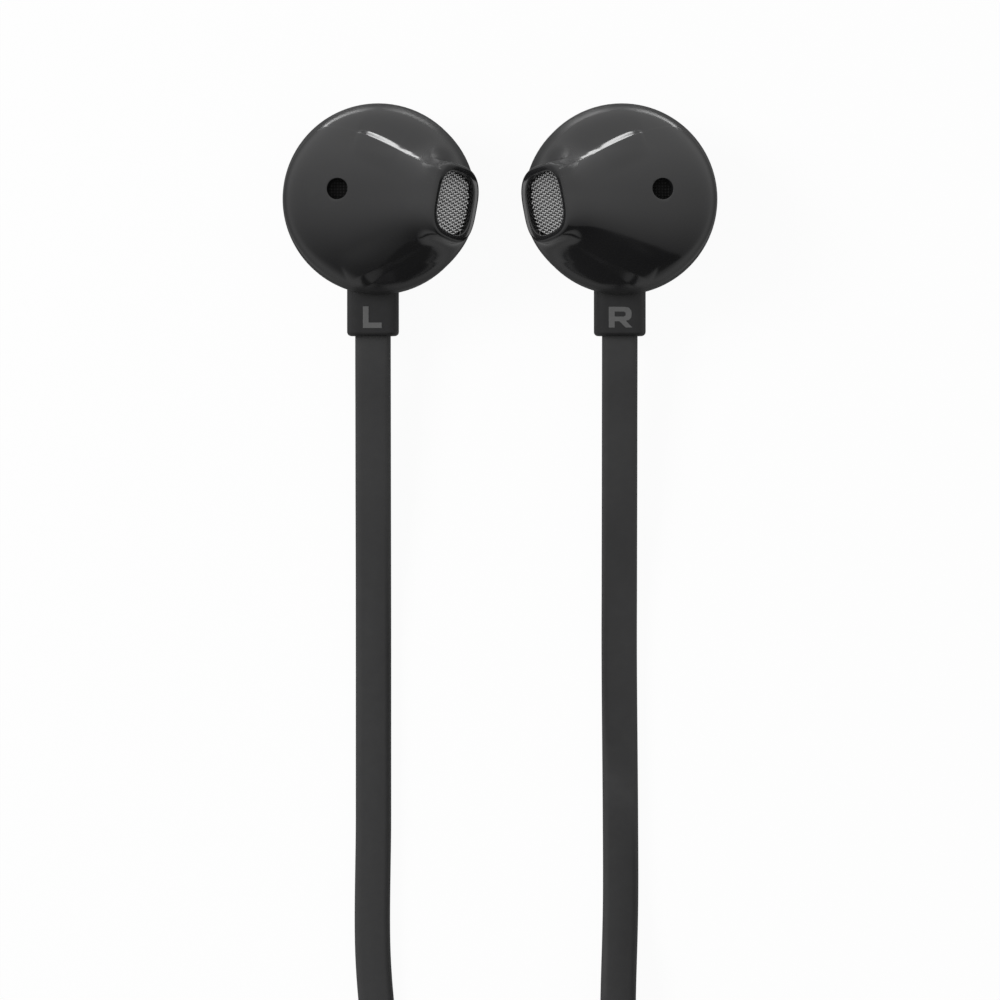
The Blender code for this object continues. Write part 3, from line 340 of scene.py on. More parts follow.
# %% Smooth routes
def smooth_route(points, step):
    """Even steps along a smooth curve through points of (x, y, z, twist)."""
    points = np.array(points, float)
    padded = np.vstack([points[0], points, points[-1]])
    share = np.linspace(0, 1, 24, endpoint=False)[:, None]
    fine = []
    for before, start, end, after in zip(padded, padded[1:], padded[2:], padded[3:]):
        fine.append(0.5 * (
            2 * start + (end - before) * share
            + (2 * before - 5 * start + 4 * end - after) * share ** 2
            + (3 * start - before - 3 * end + after) * share ** 3
        ))
    fine = np.vstack([*fine, points[-1:]])
    steps = np.linalg.norm(np.diff(fine[:, :3], axis=0), axis=1)
    along = np.concatenate([[0], np.cumsum(steps)])
    wanted = np.linspace(0, along[-1], max(2, round(along[-1] / step)) + 1)
    return np.stack([np.interp(wanted, along, fine[:, axis]) for axis in range(4)], 1), along[-1]


def flat_cord(name, route):
    """The cord as a curve of one open spline, and its length."""
    points, length = smooth_route(route, 1.0 * MM)
    curve = bpy.data.curves.new(name, "CURVE")
    curve.dimensions = "3D"
    curve.fill_mode = "FULL"
    curve.twist_mode = "Z_UP"
    curve.use_fill_caps = True
    curve.bevel_depth = CORD_THICKNESS / 2
    curve.bevel_resolution = 3
    curve.extrude = (CORD_WIDTH - CORD_THICKNESS) / 2
    spline = curve.splines.new("POLY")
    spline.points.add(len(points) - 1)
    for point, (x, y, z, twist) in zip(spline.points, points):
        point.co = (x, y, z, 1)
        point.tilt = ON_EDGE - twist
    piece = linked(name, curve)
    curve.materials.append(cord_black.material)
    print(name, "length:", round(1000 * length), "mm")
    return piece, length


def resting(x, y):
    """A point of a cord that lies flat on the surface, in millimetres."""
    return (x * MM, y * MM, REST, 0)


def on_edge(x, y):
    """A point of a cord that stands on its edge in the hank, in millimetres."""
    return (x * MM, y * MM, HANK_Z, ON_EDGE)


# %% Routes of the four cords
def neck_route(x):
    """From inside the sleeve, straight out, and down on to the surface."""
    rows = ((5.135, NECK_Z), (12.065, NECK_Z), (17.065, NECK_Z - 0.7 * MM),
            (24.065, (NECK_Z + REST) / 2), (31.065, REST + 0.4 * MM), (39.065, REST))
    return [(x, -down * MM, z, 0) for down, z in rows]


HANK_STEPS = 32


def hank_point(turn, radius, centre_x):
    """A point of a racetrack: whole turns start at the upper end of its right-hand run."""
    side, share = divmod((turn % 1) * 4, 1)
    if side == 0:
        x, y = centre_x + radius, HANK_UPPER_Y + (HANK_LOWER_Y - HANK_UPPER_Y) * share
    elif side == 1:
        x = centre_x + radius * math.cos(math.pi * share)
        y = HANK_LOWER_Y - radius * math.sin(math.pi * share)
    elif side == 2:
        x, y = centre_x - radius, HANK_LOWER_Y + (HANK_UPPER_Y - HANK_LOWER_Y) * share
    else:
        x = centre_x - radius * math.cos(math.pi * share)
        y = HANK_UPPER_Y + radius * math.sin(math.pi * share)
    return (x, y, HANK_Z, ON_EDGE)


def branch_hank(radius):
    """Once round the hank on the outside, and in to the splitter."""
    places = [hank_point(step / HANK_STEPS, radius, 0) for step in range(28)]
    for step, inward in ((28, 0.1), (29, 0.3), (30, 0.9), (31, 1.9)):
        places.append(hank_point(step / HANK_STEPS, radius - inward * MM, 0))
    down = ((0, 2.75), (6, 3.05), (14, 3.2), (21, 3.2), (24, 3.2))
    places += [(radius - inward * MM, HANK_UPPER_Y - drop * MM, HANK_Z, ON_EDGE)
               for drop, inward in down]
    return places


left_route = neck_route(NECK_X["left"]) + [
    (NECK_X["left"], -52 * MM, REST, 0), (NECK_X["left"], -65 * MM, REST, 0),
    resting(-9.7, -74.5), resting(-6.2, -84), resting(-1.0, -92.5),
    (3.6 * MM, -99.0 * MM, REST + 0.3 * MM, 0.4), (7.5 * MM, -105.5 * MM, HANK_Z - 0.3 * MM, 1.2),
    on_edge(10.8, -111.6), on_edge(13.4, -116.6), on_edge(15.5, -122.4),
] + branch_hank(16.35 * MM)
right_upper_route = neck_route(NECK_X["right"]) + [
    (NECK_X["right"] + 0.1 * MM, -52 * MM, REST, 0),
    (NECK_X["right"] + 0.1 * MM, -60 * MM, REST + 0.3 * MM, 0),
    (REMOTE_X, REMOTE_TOP_Y + 3 * MM, REMOTE_Z, 0),
    (REMOTE_X, REMOTE_TOP_Y - 1 * MM, REMOTE_Z, 0),
]
right_lower_route = [
    (REMOTE_X, REMOTE_END_Y + 1.0 * MM, REMOTE_Z, 0),
    (REMOTE_X, REMOTE_END_Y - 1.5 * MM, REMOTE_Z, 0),
    (REMOTE_X + 0.3 * MM, REMOTE_END_Y - 5.0 * MM, REMOTE_Z, 0.6),
    (REMOTE_X + 1.4 * MM, REMOTE_END_Y - 9.0 * MM, HANK_Z, ON_EDGE),
    (REMOTE_X + 3.3 * MM, REMOTE_END_Y - 12.5 * MM, HANK_Z, ON_EDGE),
    on_edge(15.6, -117.2), on_edge(17.0, -122.6),
] + branch_hank(17.65 * MM)

# %% The main cord's route: out of the splitter, round the hank, and into the plug
PITCH = 1.3 * MM
OUTER_TURN = 12.8 * MM
FIRST_TURN, LAST_TURN = 0.25, 4.75
main_route = [
    (SPLITTER_X, SPLITTER_Y - SPLITTER_LENGTH / 2 + 1.0 * MM, HANK_Z, ON_EDGE),
    (SPLITTER_X - 0.1 * MM, -166.0 * MM, HANK_Z, ON_EDGE),
    (SPLITTER_X - 0.7 * MM, -170.5 * MM, HANK_Z, ON_EDGE),
    (PLUG_AXIS_X + OUTER_TURN + 0.4 * MM, -176.0 * MM, HANK_Z, ON_EDGE),
]
for step in range(round(FIRST_TURN * HANK_STEPS), round(LAST_TURN * HANK_STEPS)):
    turn = step / HANK_STEPS
    main_route.append(hank_point(turn, OUTER_TURN - PITCH * (turn - FIRST_TURN), PLUG_AXIS_X))
last_radius = OUTER_TURN - PITCH * (LAST_TURN - FIRST_TURN)
for step, shift in ((1, 0.12), (2, 0.38), (3, 0.75), (4, 1.15), (5, 1.55), (6, 1.9), (7, 2.12)):
    main_route.append(
        hank_point(LAST_TURN + step / HANK_STEPS, last_radius - shift * MM, PLUG_AXIS_X)
    )
main_route += [
    on_edge(3.1, -128.8), on_edge(2.8, -131.8), on_edge(1.4, -134.8), on_edge(-0.4, -137.8),
    (PLUG_AXIS_X, RELIEF_END_Y + 1.5 * MM, PLUG_AXIS_Z - 0.1 * MM, ON_EDGE),
    (PLUG_AXIS_X, RELIEF_END_Y + 0.3 * MM, PLUG_AXIS_Z, ON_EDGE),
]

left_cord, left_length = flat_cord("left_cord_flat", left_route)
right_upper, right_upper_length = flat_cord("right_cord_to_remote", right_upper_route)
right_lower, right_lower_length = flat_cord("right_cord_from_remote", right_lower_route)
main_cord, main_length = flat_cord("main_cord_flat", main_route)
for cord_piece in (left_cord, right_upper, right_lower, main_cord):
    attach(cord_piece, "earphones")
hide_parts("left_cord")
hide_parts("right_cord_upper")
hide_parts("right_cord_lower", "branch_hank")
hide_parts("main_cord_tail", "main_hank")

# %% [markdown]
# ## Modelling helpers
# Most pieces start as a primitive and are shaped in edit mode. An operator acts on all that is
# selected, so everything is deselected first, and faces or edges are then selected in code by
# place.

# %% Editing helpers
def start(add, **settings):
    """Adds a primitive with nothing else selected."""
    if bpy.context.mode != "OBJECT":
        bpy.ops.object.mode_set(mode="OBJECT")
    bpy.ops.object.select_all(action="DESELECT")
    add(**settings)
    return bpy.context.view_layer.objects.active


ITEMS = {"FACE": "polygons", "EDGE": "edges", "VERT": "vertices"}


def edit(piece, kind, chosen):
    """Enters edit mode with the chosen faces, edges or vertices selected."""
    bpy.context.view_layer.objects.active = piece
    bpy.ops.object.mode_set(mode="EDIT")
    bpy.ops.mesh.select_mode(type=kind)
    bpy.ops.mesh.select_all(action="DESELECT")
    bpy.ops.object.mode_set(mode="OBJECT")
    for item in getattr(piece.data, ITEMS[kind]):
        item.select = bool(chosen(item))
    bpy.ops.object.mode_set(mode="EDIT")


def leave_edit():
    bpy.ops.object.mode_set(mode="OBJECT")


def select_only(piece):
    bpy.ops.object.select_all(action="DESELECT")
    piece.select_set(True)
    bpy.context.view_layer.objects.active = piece


def apply_all(piece):
    """Applies every modifier, so that the piece is plain mesh."""
    select_only(piece)
    for modifier in list(piece.modifiers):
        bpy.ops.object.modifier_apply(modifier=modifier.name)
    return piece


def cut(piece, cutter, operation="DIFFERENCE"):
    modifier = piece.modifiers.new("cut", "BOOLEAN")
    modifier.operation = operation
    modifier.solver = "EXACT"
    modifier.object = cutter
    apply_all(piece)
    bpy.data.objects.remove(cutter)
    return piece


def settle(piece):
    """Moves the object's place into its mesh."""
    select_only(piece)
    bpy.ops.object.transform_apply(location=True, rotation=True, scale=True)
    return piece


def block(location, half_sizes):
    return settle(start(
        bpy.ops.mesh.primitive_cube_add, size=2, location=location, scale=half_sizes
    ))


def bevelled(piece, chosen, width, segments):
    """Rounds the edges whose two ends pass a test."""
    edit(piece, "EDGE", lambda edge: chosen(
        *(piece.data.vertices[index].co for index in edge.vertices)
    ))
    bpy.ops.mesh.bevel(offset=width, segments=segments, affect="EDGES")
    leave_edit()


def finished(piece, name, finish, slot, *nodes, body="earphones", degrees=35):
    """Names and dresses a piece, and puts it on its body in place of the solids it stands for."""
    settle(piece)
    bpy.ops.object.shade_smooth_by_angle(angle=math.radians(degrees))
    piece.name = name
    piece.data.name = name
    piece.data.materials.clear()
    piece.data.materials.append(finish.material)
    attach(piece, body)
    if nodes:
        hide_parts(*nodes)
    return piece


# %% [markdown]
# A wrapped grid is for forms that change along their length. A grid primitive is bent in code so
# that each of its rows lies on one section of the form, its two long sides are merged, and its
# ends are filled, or merged with each other where the sections come back to the first one.

# %% Wrapped grids and turned forms
def wrapped(name, sections, ends="filled"):
    """A closed skin over sections of equally many points."""
    sections = np.array(sections, float)
    rows, columns = sections.shape[:2]
    piece = start(
        bpy.ops.mesh.primitive_grid_add,
        x_subdivisions=columns, y_subdivisions=rows - 1, size=2,
    )
    mesh = piece.data
    flat = np.empty(len(mesh.vertices) * 3)
    mesh.vertices.foreach_get("co", flat)
    flat = flat.reshape(-1, 3)
    column = np.rint((flat[:, 0] + 1) / 2 * columns).astype(int) % columns
    row = np.rint((flat[:, 1] + 1) / 2 * (rows - 1)).astype(int)
    mesh.vertices.foreach_set("co", sections[row, column].ravel())
    mesh.update()
    edit(piece, "VERT", lambda vertex: True)
    bpy.ops.mesh.remove_doubles(threshold=1e-7)
    if ends == "filled":
        bpy.ops.mesh.select_all(action="DESELECT")
        bpy.ops.mesh.select_non_manifold(extend=False)
        bpy.ops.mesh.edge_face_add()
    bpy.ops.mesh.select_all(action="SELECT")
    bpy.ops.mesh.normals_make_consistent(inside=False)
    leave_edit()
    piece.name = name
    return piece


def turned(name, profile, steps=96):
    """A profile of (radius, height) turned about Z: a circle extruded and scaled ring by ring."""
    radius, height = profile[0]
    piece = start(
        bpy.ops.mesh.primitive_circle_add,
        vertices=steps, radius=radius, location=(0, 0, 0), fill_type="NGON",
    )
    settle(piece)
    edit(piece, "VERT", lambda vertex: True)
    bpy.ops.transform.translate(value=(0, 0, height))
    bpy.ops.mesh.select_mode(type="FACE")
    bpy.ops.mesh.select_all(action="SELECT")
    for next_radius, next_height in profile[1:]:
        bpy.ops.mesh.extrude_region_move(
            TRANSFORM_OT_translate={"value": (0, 0, next_height - height)}
        )
        share = next_radius / radius
        bpy.ops.transform.resize(value=(share, share, 1), center_override=(0, 0, next_height))
        radius, height = next_radius, next_height
    bpy.ops.mesh.select_all(action="SELECT")
    bpy.ops.mesh.normals_make_consistent(inside=False)
    leave_edit()
    piece.name = name
    return piece


# %% [markdown]
# ## The heads
# The face of each earbud is one moulding: a low dome, and a snout that grows out of it towards the
# nozzle's tilted oval mouth. Sections of the snout lie in planes that all pass through one line,
# the hinge, where the mouth's plane would meet the joint plane. In each such plane the surface is
# the outer one of the dome and the snout, joined by a soft fillet, so that a glossy reflection
# runs cleanly through the crease. That can be worked out exactly for every point of a grid, which
# keeps the reflections free of the ripples that a remeshed union would show. The mouth is an oval
# with nearly straight sides that leans, and the snout turns into that lean on its way out of the
# dome.

# %% Form of the head, in the axes of the left earbud
DOME_HEIGHT = 0.53 * HEAD_RADIUS
SHELL_WALL = 0.7 * MM
MOUTH_CENTRE = np.array((0.8135, -0.0614, 0.582)) * HEAD_RADIUS
MOUTH_WIDTH_SHARE, MOUTH_LENGTH_SHARE = 0.329, 0.3976
MOUTH_HALF_WIDTH = MOUTH_WIDTH_SHARE * HEAD_RADIUS
MOUTH_HALF_LENGTH = MOUTH_LENGTH_SHARE * HEAD_RADIUS
MOUTH_TILT = math.radians(47)
MOUTH_LEAN = math.radians(15)
MOUTH_WALL = 0.62 * MM
MOUTH_TUBE = 1.3 * MM
MOUTH_SQUARENESS = 3.0
MOUTH_OUT = np.array((math.sin(MOUTH_TILT), 0, math.cos(MOUTH_TILT)))
MOUTH_ACROSS = np.array((math.cos(MOUTH_TILT), 0, -math.sin(MOUTH_TILT)))
MOUTH_ALONG = np.array((0.0, 1.0, 0.0))
HINGE_X = MOUTH_CENTRE[0] + MOUTH_CENTRE[2] / math.tan(MOUTH_TILT)
HINGE_TO_MOUTH = MOUTH_CENTRE[2] / math.sin(MOUTH_TILT)
HINGE_SHARE = HINGE_TO_MOUTH / HEAD_RADIUS
FILLET = 0.9 * MM
LEAN_STARTS = math.radians(8)
LEAN_GROWS = math.radians(24)

SNOUT = np.array((
    # angle, nearest and furthest distance from the hinge, half width, offset, squareness
    (1.5, 0.410, 2.300, 0.880, 0.000, 2.00),
    (7.5, 0.372, 2.292, 0.868, -0.018, 2.10),
    (12.8, 0.375, 2.165, 0.800, -0.045, 2.20),
    (16.5, 0.380, 1.985, 0.710, -0.065, 2.30),
    (20.5, 0.385, 1.755, 0.610, -0.075, 2.40),
    (26.0, 0.400, 1.500, 0.515, -0.075, 2.50),
    (34.0, 0.425, 1.287, 0.435, -0.065, 2.70),
    (47.0, HINGE_SHARE - MOUTH_WIDTH_SHARE, HINGE_SHARE + MOUTH_WIDTH_SHARE,
     MOUTH_LENGTH_SHARE, -0.0614, MOUTH_SQUARENESS),
))
ROW_WEIGHTS = (1, 1, 1, 1, 1, 1, 2, 20)


def smooth_step(share):
    share = np.clip(share, 0, 1)
    return share * share * (3 - 2 * share)


def unit(rows):
    """The rows as directions of length one."""
    return rows / np.linalg.norm(rows, axis=1)[:, None]


SNOUT_CURVES = [
    np.polyfit(np.radians(SNOUT[:, 0]), SNOUT[:, column], 4, w=ROW_WEIGHTS)
    for column in range(1, 6)
]


def snout_section(angle):
    """Each column of the table as one smooth curve over the angle, in radians."""
    return [np.polyval(curve, angle) for curve in SNOUT_CURVES]


def head_point(angle, turn, fillet=FILLET):
    """Points of the head's outer surface, in the hinge plane at an angle, round its middle."""
    near, far, half_width, offset, squareness = snout_section(angle)
    along = np.stack([-np.cos(angle), np.zeros_like(angle), np.sin(angle)], -1)
    middle = along * ((near + far) / 2 * HEAD_RADIUS)[..., None]
    middle = middle + np.stack([np.full_like(angle, HINGE_X), offset * HEAD_RADIUS,
                                np.zeros_like(angle)], -1)
    toward, side = np.cos(turn), np.sin(turn)
    ray = -along * toward[..., None] + MOUTH_ALONG * side[..., None]
    lean = MOUTH_LEAN * smooth_step((angle - LEAN_STARTS) / LEAN_GROWS)
    across = np.abs(toward * np.cos(lean) - side * np.sin(lean)) / ((far - near) / 2)
    length = np.abs(side * np.cos(lean) + toward * np.sin(lean)) / half_width
    snout = HEAD_RADIUS / (across ** squareness + length ** squareness) ** (1 / squareness)
    scale = np.array((1 / HEAD_RADIUS, 1 / HEAD_RADIUS, 1 / DOME_HEIGHT))
    a = ((ray * scale) ** 2).sum(-1)
    b = (ray * middle * scale ** 2).sum(-1)
    c = ((middle * scale) ** 2).sum(-1) - 1
    root = b * b - a * c
    dome = (-b + np.sign(root) * np.sqrt(np.abs(root))) / a
    width = np.maximum(fillet * smooth_step(angle / math.radians(6)), 1e-9)
    overlap = np.maximum(width - np.abs(dome - snout), 0) / width
    reach = np.maximum(dome, snout) + width * overlap ** 2 / 4
    return middle + ray * reach[..., None]


def on_mouth(a, b, depth):
    """Places in the mouth's plane, leaned with it and set back by a depth."""
    a, b, depth = np.broadcast_arrays(a, b, depth)
    across = a * math.cos(MOUTH_LEAN) + b * math.sin(MOUTH_LEAN)
    along = b * math.cos(MOUTH_LEAN) - a * math.sin(MOUTH_LEAN)
    return (MOUTH_CENTRE - MOUTH_OUT * depth[..., None] + MOUTH_ACROSS * across[..., None]
            + MOUTH_ALONG * along[..., None])


# %% [markdown]
# The face drops to the dome over two narrow ledges. Seen from above, each follows a line: the
# upper one is a slim leaf that catches the light, the lower one fans out towards the rim. Along a
# ledge the face is raised and the dome lowered, each by a share of its height, and both come back
# to their own form within two and a half millimetres.

# %% Ledges
RAISED_SHARE = 0.6
LEDGE_SOFTNESS = 0.2
MOST_DROP = 0.45
LINE_STEP = 0.05 * MM
PART_SIZE = 4000  # points looked up at once
TURN_SAMPLES = 900  # turns tried in each row
NUDGE = 0.004  # a small angle, to find a slope with
UPPER_LINE = ((-9.0, 6.3), (-4.1, 6.2), (-1.6, 5.6), (0, 4.95), (2.8, 3.6), (5.3, 2.4), (6.7, 1.7))
LOWER_LINE = ((-8.0, -9.8), (-2.28, -7.1), (1.4, -5.37), (5.09, -3.63), (6.5, -2.97))


def plan_line(points):
    """Even points along a smooth line in plan, their directions, and their distances along it."""
    rows = [(x * MM, y * MM, 0, 0) for x, y in points]
    line = smooth_route(rows, LINE_STEP)[0][:, :2]
    along = np.concatenate([[0], np.cumsum(np.linalg.norm(np.diff(line, axis=0), axis=1))])
    return line, unit(np.gradient(line, axis=0)), along


def beside(line, points, outward):
    """How far plan points lie beside a line, positive towards the dome, and along it."""
    places, ahead, along = line
    flat = points.reshape(-1, 2)
    nearest = np.concatenate([
        np.argmin(((part[:, None] - places[None]) ** 2).sum(-1), 1)
        for part in np.array_split(flat, max(1, len(flat) // PART_SIZE))
    ])
    away = flat - places[nearest]
    direction = ahead[nearest]
    aside = outward * (direction[:, 0] * away[:, 1] - direction[:, 1] * away[:, 0])
    further = along[nearest] + (direction * away).sum(-1)
    return aside.reshape(points.shape[:-1]), further.reshape(points.shape[:-1])


def dome_height(points):
    inside = 1 - (points[..., :2] ** 2).sum(-1) / HEAD_RADIUS ** 2
    return DOME_HEIGHT * np.sqrt(np.maximum(inside, 0))


class Ledge:
    """One ledge: its line, its width along the line, and how far it drops."""

    def __init__(self, points, outward, turns, width, slope, recovery):
        self.recovery = recovery
        self.line = plan_line(points)
        self.outward = outward
        self.turns = turns
        self.width_at = width
        self.slope = slope

    def along_x(self, along):
        return np.interp(along, self.line[2], self.line[0][:, 0])

    def width(self, along):
        return self.width_at(self.along_x(along) / MM) * MM

    def find(self, angles):
        """The two turns in every row where the ledge starts and ends, and its drop."""
        turn = np.radians(np.linspace(*self.turns, TURN_SAMPLES))
        angle_grid, turn_grid = np.meshgrid(angles, turn, indexing="ij")
        points = head_point(angle_grid, turn_grid)
        aside, along = beside(self.line, points[..., :2], self.outward)
        self.starts = self.crossing(aside, turn)
        self.ends = self.crossing(aside - self.width(along), turn)
        here = head_point(angles, self.starts)
        round_it = head_point(angles, self.starts + NUDGE) - here
        up_it = head_point(angles + NUDGE, self.starts) - here
        normal = np.cross(round_it, up_it)
        normal *= np.sign(normal[:, 2:])
        along_here = beside(self.line, here[:, :2], self.outward)[1]
        ahead = np.stack([np.interp(along_here, self.line[2], self.line[1][:, axis])
                          for axis in (0, 1)], 1)
        across = self.outward * np.stack([-ahead[:, 1], ahead[:, 0]], 1)
        own_slope = (normal[:, :2] * across).sum(1) / normal[:, 2]
        drop = self.width(along_here) * np.maximum(self.slope - own_slope, 0)
        order = np.argsort(along_here)
        self.known = along_here[order]
        self.share = np.clip(drop / np.maximum(here[:, 2], 0.3 * MM), 0, MOST_DROP)[order]
        self.height = (here[:, 2] - dome_height(here))[order]

    def crossing(self, values, turn):
        """Where a row's values pass zero for the first time, from the ledge's face side."""
        found = []
        for row in values:
            inside = row > 0
            place = max(int(np.argmax(inside)), 1)
            first, second = row[place - 1], row[place]
            part = 0.0 if first == second else np.clip(first / (first - second), 0, 1)
            found.append(turn[place - 1] + (turn[place] - turn[place - 1]) * part)
        return np.array(found)

    def shaped(self, points):
        """Raises the face towards the ledge and lowers the dome below it."""
        aside, along = beside(self.line, points[..., :2], self.outward)
        width = np.maximum(self.width(along), 1e-6)
        ramp = np.clip(aside / width, 0, 1)
        ramp = (1 - LEDGE_SOFTNESS) * ramp + LEDGE_SOFTNESS * smooth_step(ramp)
        raised = RAISED_SHARE * (1 - ramp) * (1 - smooth_step(-aside / self.recovery))
        lowered = (1 - RAISED_SHARE) * ramp * (1 - smooth_step((aside - width) / self.recovery))
        share = np.interp(along, self.known, self.share)
        changed = points.copy()
        changed[..., 2] *= 1 + share * (raised - lowered)
        return changed


LEAST_WIDTH = 0.02
LEAF_START, LEAF_LENGTH, LEAF_WIDTH = -1.75, 7.9, 0.5
LEAF_PEAK = 0.393  # the largest value of the two powers below
FAN_START, FAN_LENGTH, FAN_GROWTH = 5.09, 8, 0.165


def upper_width(x):
    """A leaf that starts bluntly beside the vent and runs out thin at the nozzle, in mm."""
    place = np.clip((x - LEAF_START) / LEAF_LENGTH, 0, 1)
    return LEAST_WIDTH + LEAF_WIDTH * place ** 0.45 * (1 - place) ** 1.1 / LEAF_PEAK


def lower_width(x):
    """A fan that opens from the nozzle's lower corner, in mm."""
    return LEAST_WIDTH + FAN_GROWTH * np.clip(FAN_START - x, 0, FAN_LENGTH)


upper_ledge = Ledge(UPPER_LINE, outward=1, turns=(180, 60), width=upper_width, slope=1.6,
                    recovery=2.4 * MM)
lower_ledge = Ledge(LOWER_LINE, outward=-1, turns=(180, 300), width=lower_width, slope=1.15,
                    recovery=2.5 * MM)

# %% [markdown]
# The grid's rows run from the joint up to the mouth, round its lip, down the nozzle's wall, and
# back under the surface at the shell's thickness. Its columns are drawn together at the two
# ledges, so that each ledge has ten of its own. Sharp moulded edges are never really sharp, so
# both lips of the mouth and the edge at the joint are short curves.

# %% Front shell
LEDGE_COLUMNS = 10
COLUMN_SHARES = (54, LEDGE_COLUMNS, 86, LEDGE_COLUMNS, 64)
CROWDING = 0.75
COLUMNS = sum(COLUMN_SHARES)
ROWS = 170
ROW_CROWDING = 1.2
INNER_ANGLES = (26, 22, 18, 14, 10, 6, 3)
LIP = 0.2 * MM
INNER_LIP = 0.12 * MM
JOINT_EDGE = 0.1 * MM


def curve_between(first, corner, last, steps):
    """A soft corner: points from first to last that turn towards the corner."""
    for share in np.linspace(0, 1, steps + 1):
        yield (1 - share) ** 2 * first + 2 * share * (1 - share) * corner + share ** 2 * last


def ray_mouth(turn, inset):
    """The point of the mouth's outline, at an inset, that lies in a direction round its middle."""
    toward, side = np.cos(turn), np.sin(turn)
    across = toward * math.cos(MOUTH_LEAN) - side * math.sin(MOUTH_LEAN)
    length = side * math.cos(MOUTH_LEAN) + toward * math.sin(MOUTH_LEAN)
    reach = 1 / (
        (np.abs(across) / (MOUTH_HALF_WIDTH - inset)) ** MOUTH_SQUARENESS
        + (np.abs(length) / (MOUTH_HALF_LENGTH - inset)) ** MOUTH_SQUARENESS
    ) ** (1 / MOUTH_SQUARENESS)
    return across * reach, length * reach


def drawn_together(stops):
    """Turns between stops, closer to each other near the ledges."""
    turns = []
    for first, last, count in zip(stops, stops[1:], COLUMN_SHARES):
        share = np.arange(count) / count
        if count > LEDGE_COLUMNS:
            share = share - CROWDING * np.sin(math.tau * share) / math.tau
        turns.append(first + (last - first) * share)
    return np.concatenate(turns)


SWEEP_SLOPE = 1.4
SWEEP_REACH = 1.1 * MM
SWEEP_STARTS, SWEEP_GROWS = 2.2 * MM, 1.2 * MM
SWEEP_ENDS = math.radians(5)


def swept(points, angle, turn):
    """The saddle above the nozzle, which leaves the upper line steeply and ends on the dome."""
    aside, along = beside(upper_ledge.line, points[..., :2], 1)
    height = np.maximum(np.interp(along, upper_ledge.known, upper_ledge.height), 0.05 * MM)
    reach = np.minimum(height / SWEEP_SLOPE, SWEEP_REACH)
    sweep = dome_height(points) + height * np.exp(-np.maximum(aside, 0) / reach)
    beyond_line = (aside > 0) & (np.sin(turn) > 0)
    near_nozzle = smooth_step((upper_ledge.along_x(along) - SWEEP_STARTS) / SWEEP_GROWS)
    below_mouth = smooth_step((MOUTH_TILT - angle) / SWEEP_ENDS - 0.1)
    off_the_end = smooth_step((0.6 - np.cos(turn)) / 0.5)
    changed = points.copy()
    changed[..., 2] += (beyond_line * near_nozzle * below_mouth * off_the_end
                        * (sweep - points[..., 2]))
    return changed


def face_point(angle, turn):
    """The head's outer surface with its ledges."""
    points = upper_ledge.shaped(head_point(angle, turn))
    return lower_ledge.shaped(swept(points, angle, turn))


def shell_sections():
    """The grid's rows: the joint's edge, the face, the mouth's lip and tube, and the inside."""
    share = np.linspace(0, 1, ROWS) ** ROW_CROWDING
    last = MOUTH_TILT - LIP / HINGE_TO_MOUTH
    angles = share * last
    for ledge in (upper_ledge, lower_ledge):
        ledge.find(angles)
    turns = np.array([
        drawn_together((0, *stops, math.tau))
        for stops in zip(upper_ledge.ends, upper_ledge.starts, lower_ledge.starts, lower_ledge.ends)
    ])
    circle = head_point(np.zeros(COLUMNS), turns[0], 0)
    edge = on_mouth(*ray_mouth(turns[-1], 0), 0.0)
    lip_angle = LIP / np.hypot(edge[:, 0] - HINGE_X, edge[:, 2])
    joint_angle = JOINT_EDGE / np.hypot(circle[:, 0] - HINGE_X, circle[:, 2])
    spread = joint_angle + (MOUTH_TILT - lip_angle - joint_angle) * share[:, None]
    outer = face_point(spread, turns)
    inward = circle * (1 - JOINT_EDGE / HEAD_RADIUS)
    sections = [circle * (1 - SHELL_WALL / HEAD_RADIUS)]
    sections += list(curve_between(inward, circle, outer[0], 3))[:-1]
    sections += list(outer)
    turn = turns[-1]
    rim = on_mouth(*ray_mouth(turn, LIP), 0.0)
    sections += list(curve_between(outer[-1], edge, rim, 5))[1:]
    inner_rim = on_mouth(*ray_mouth(turn, MOUTH_WALL - INNER_LIP), 0.0)
    wall = ray_mouth(turn, MOUTH_WALL)
    sections += list(curve_between(inner_rim, on_mouth(*wall, 0.0), on_mouth(*wall, 0.14 * MM), 4))
    sections += [on_mouth(*wall, 0.5 * MM), on_mouth(*wall, MOUTH_TUBE)]
    for degrees in INNER_ANGLES:
        row = int(np.searchsorted(angles, math.radians(degrees)))
        angle = np.full(COLUMNS, math.radians(degrees))
        here = face_point(angle, turns[row])
        above = face_point(angle + 0.01, turns[row])
        around = np.roll(here, -1, 0) - np.roll(here, 1, 0)
        sections.append(here - unit(np.cross(around, above - here)) * SHELL_WALL)
    sections.append(sections[0])
    return np.array(sections)


LEFT_PLACE = Matrix.Translation((-BUD_X, BUD_Y, JOINT_HEIGHT))
RIGHT_PLACE = Matrix.Translation((BUD_X, BUD_Y, JOINT_HEIGHT)) @ Matrix.Scale(-1, 4, (1, 0, 0))
PLACES = {"left": LEFT_PLACE, "right": RIGHT_PLACE}


def into_bud(piece, side):
    """Moves a mesh made in the left earbud's axes into either earbud; the right one is mirrored."""
    piece.data.transform(PLACES[side])
    if side == "right":
        piece.data.flip_normals()
    return piece


# %% [markdown]
# The vent is a small round hole in the dome. Its cutter is a pin that flares at the surface, so
# the hole gets a soft lip, and it stands square to the dome there.

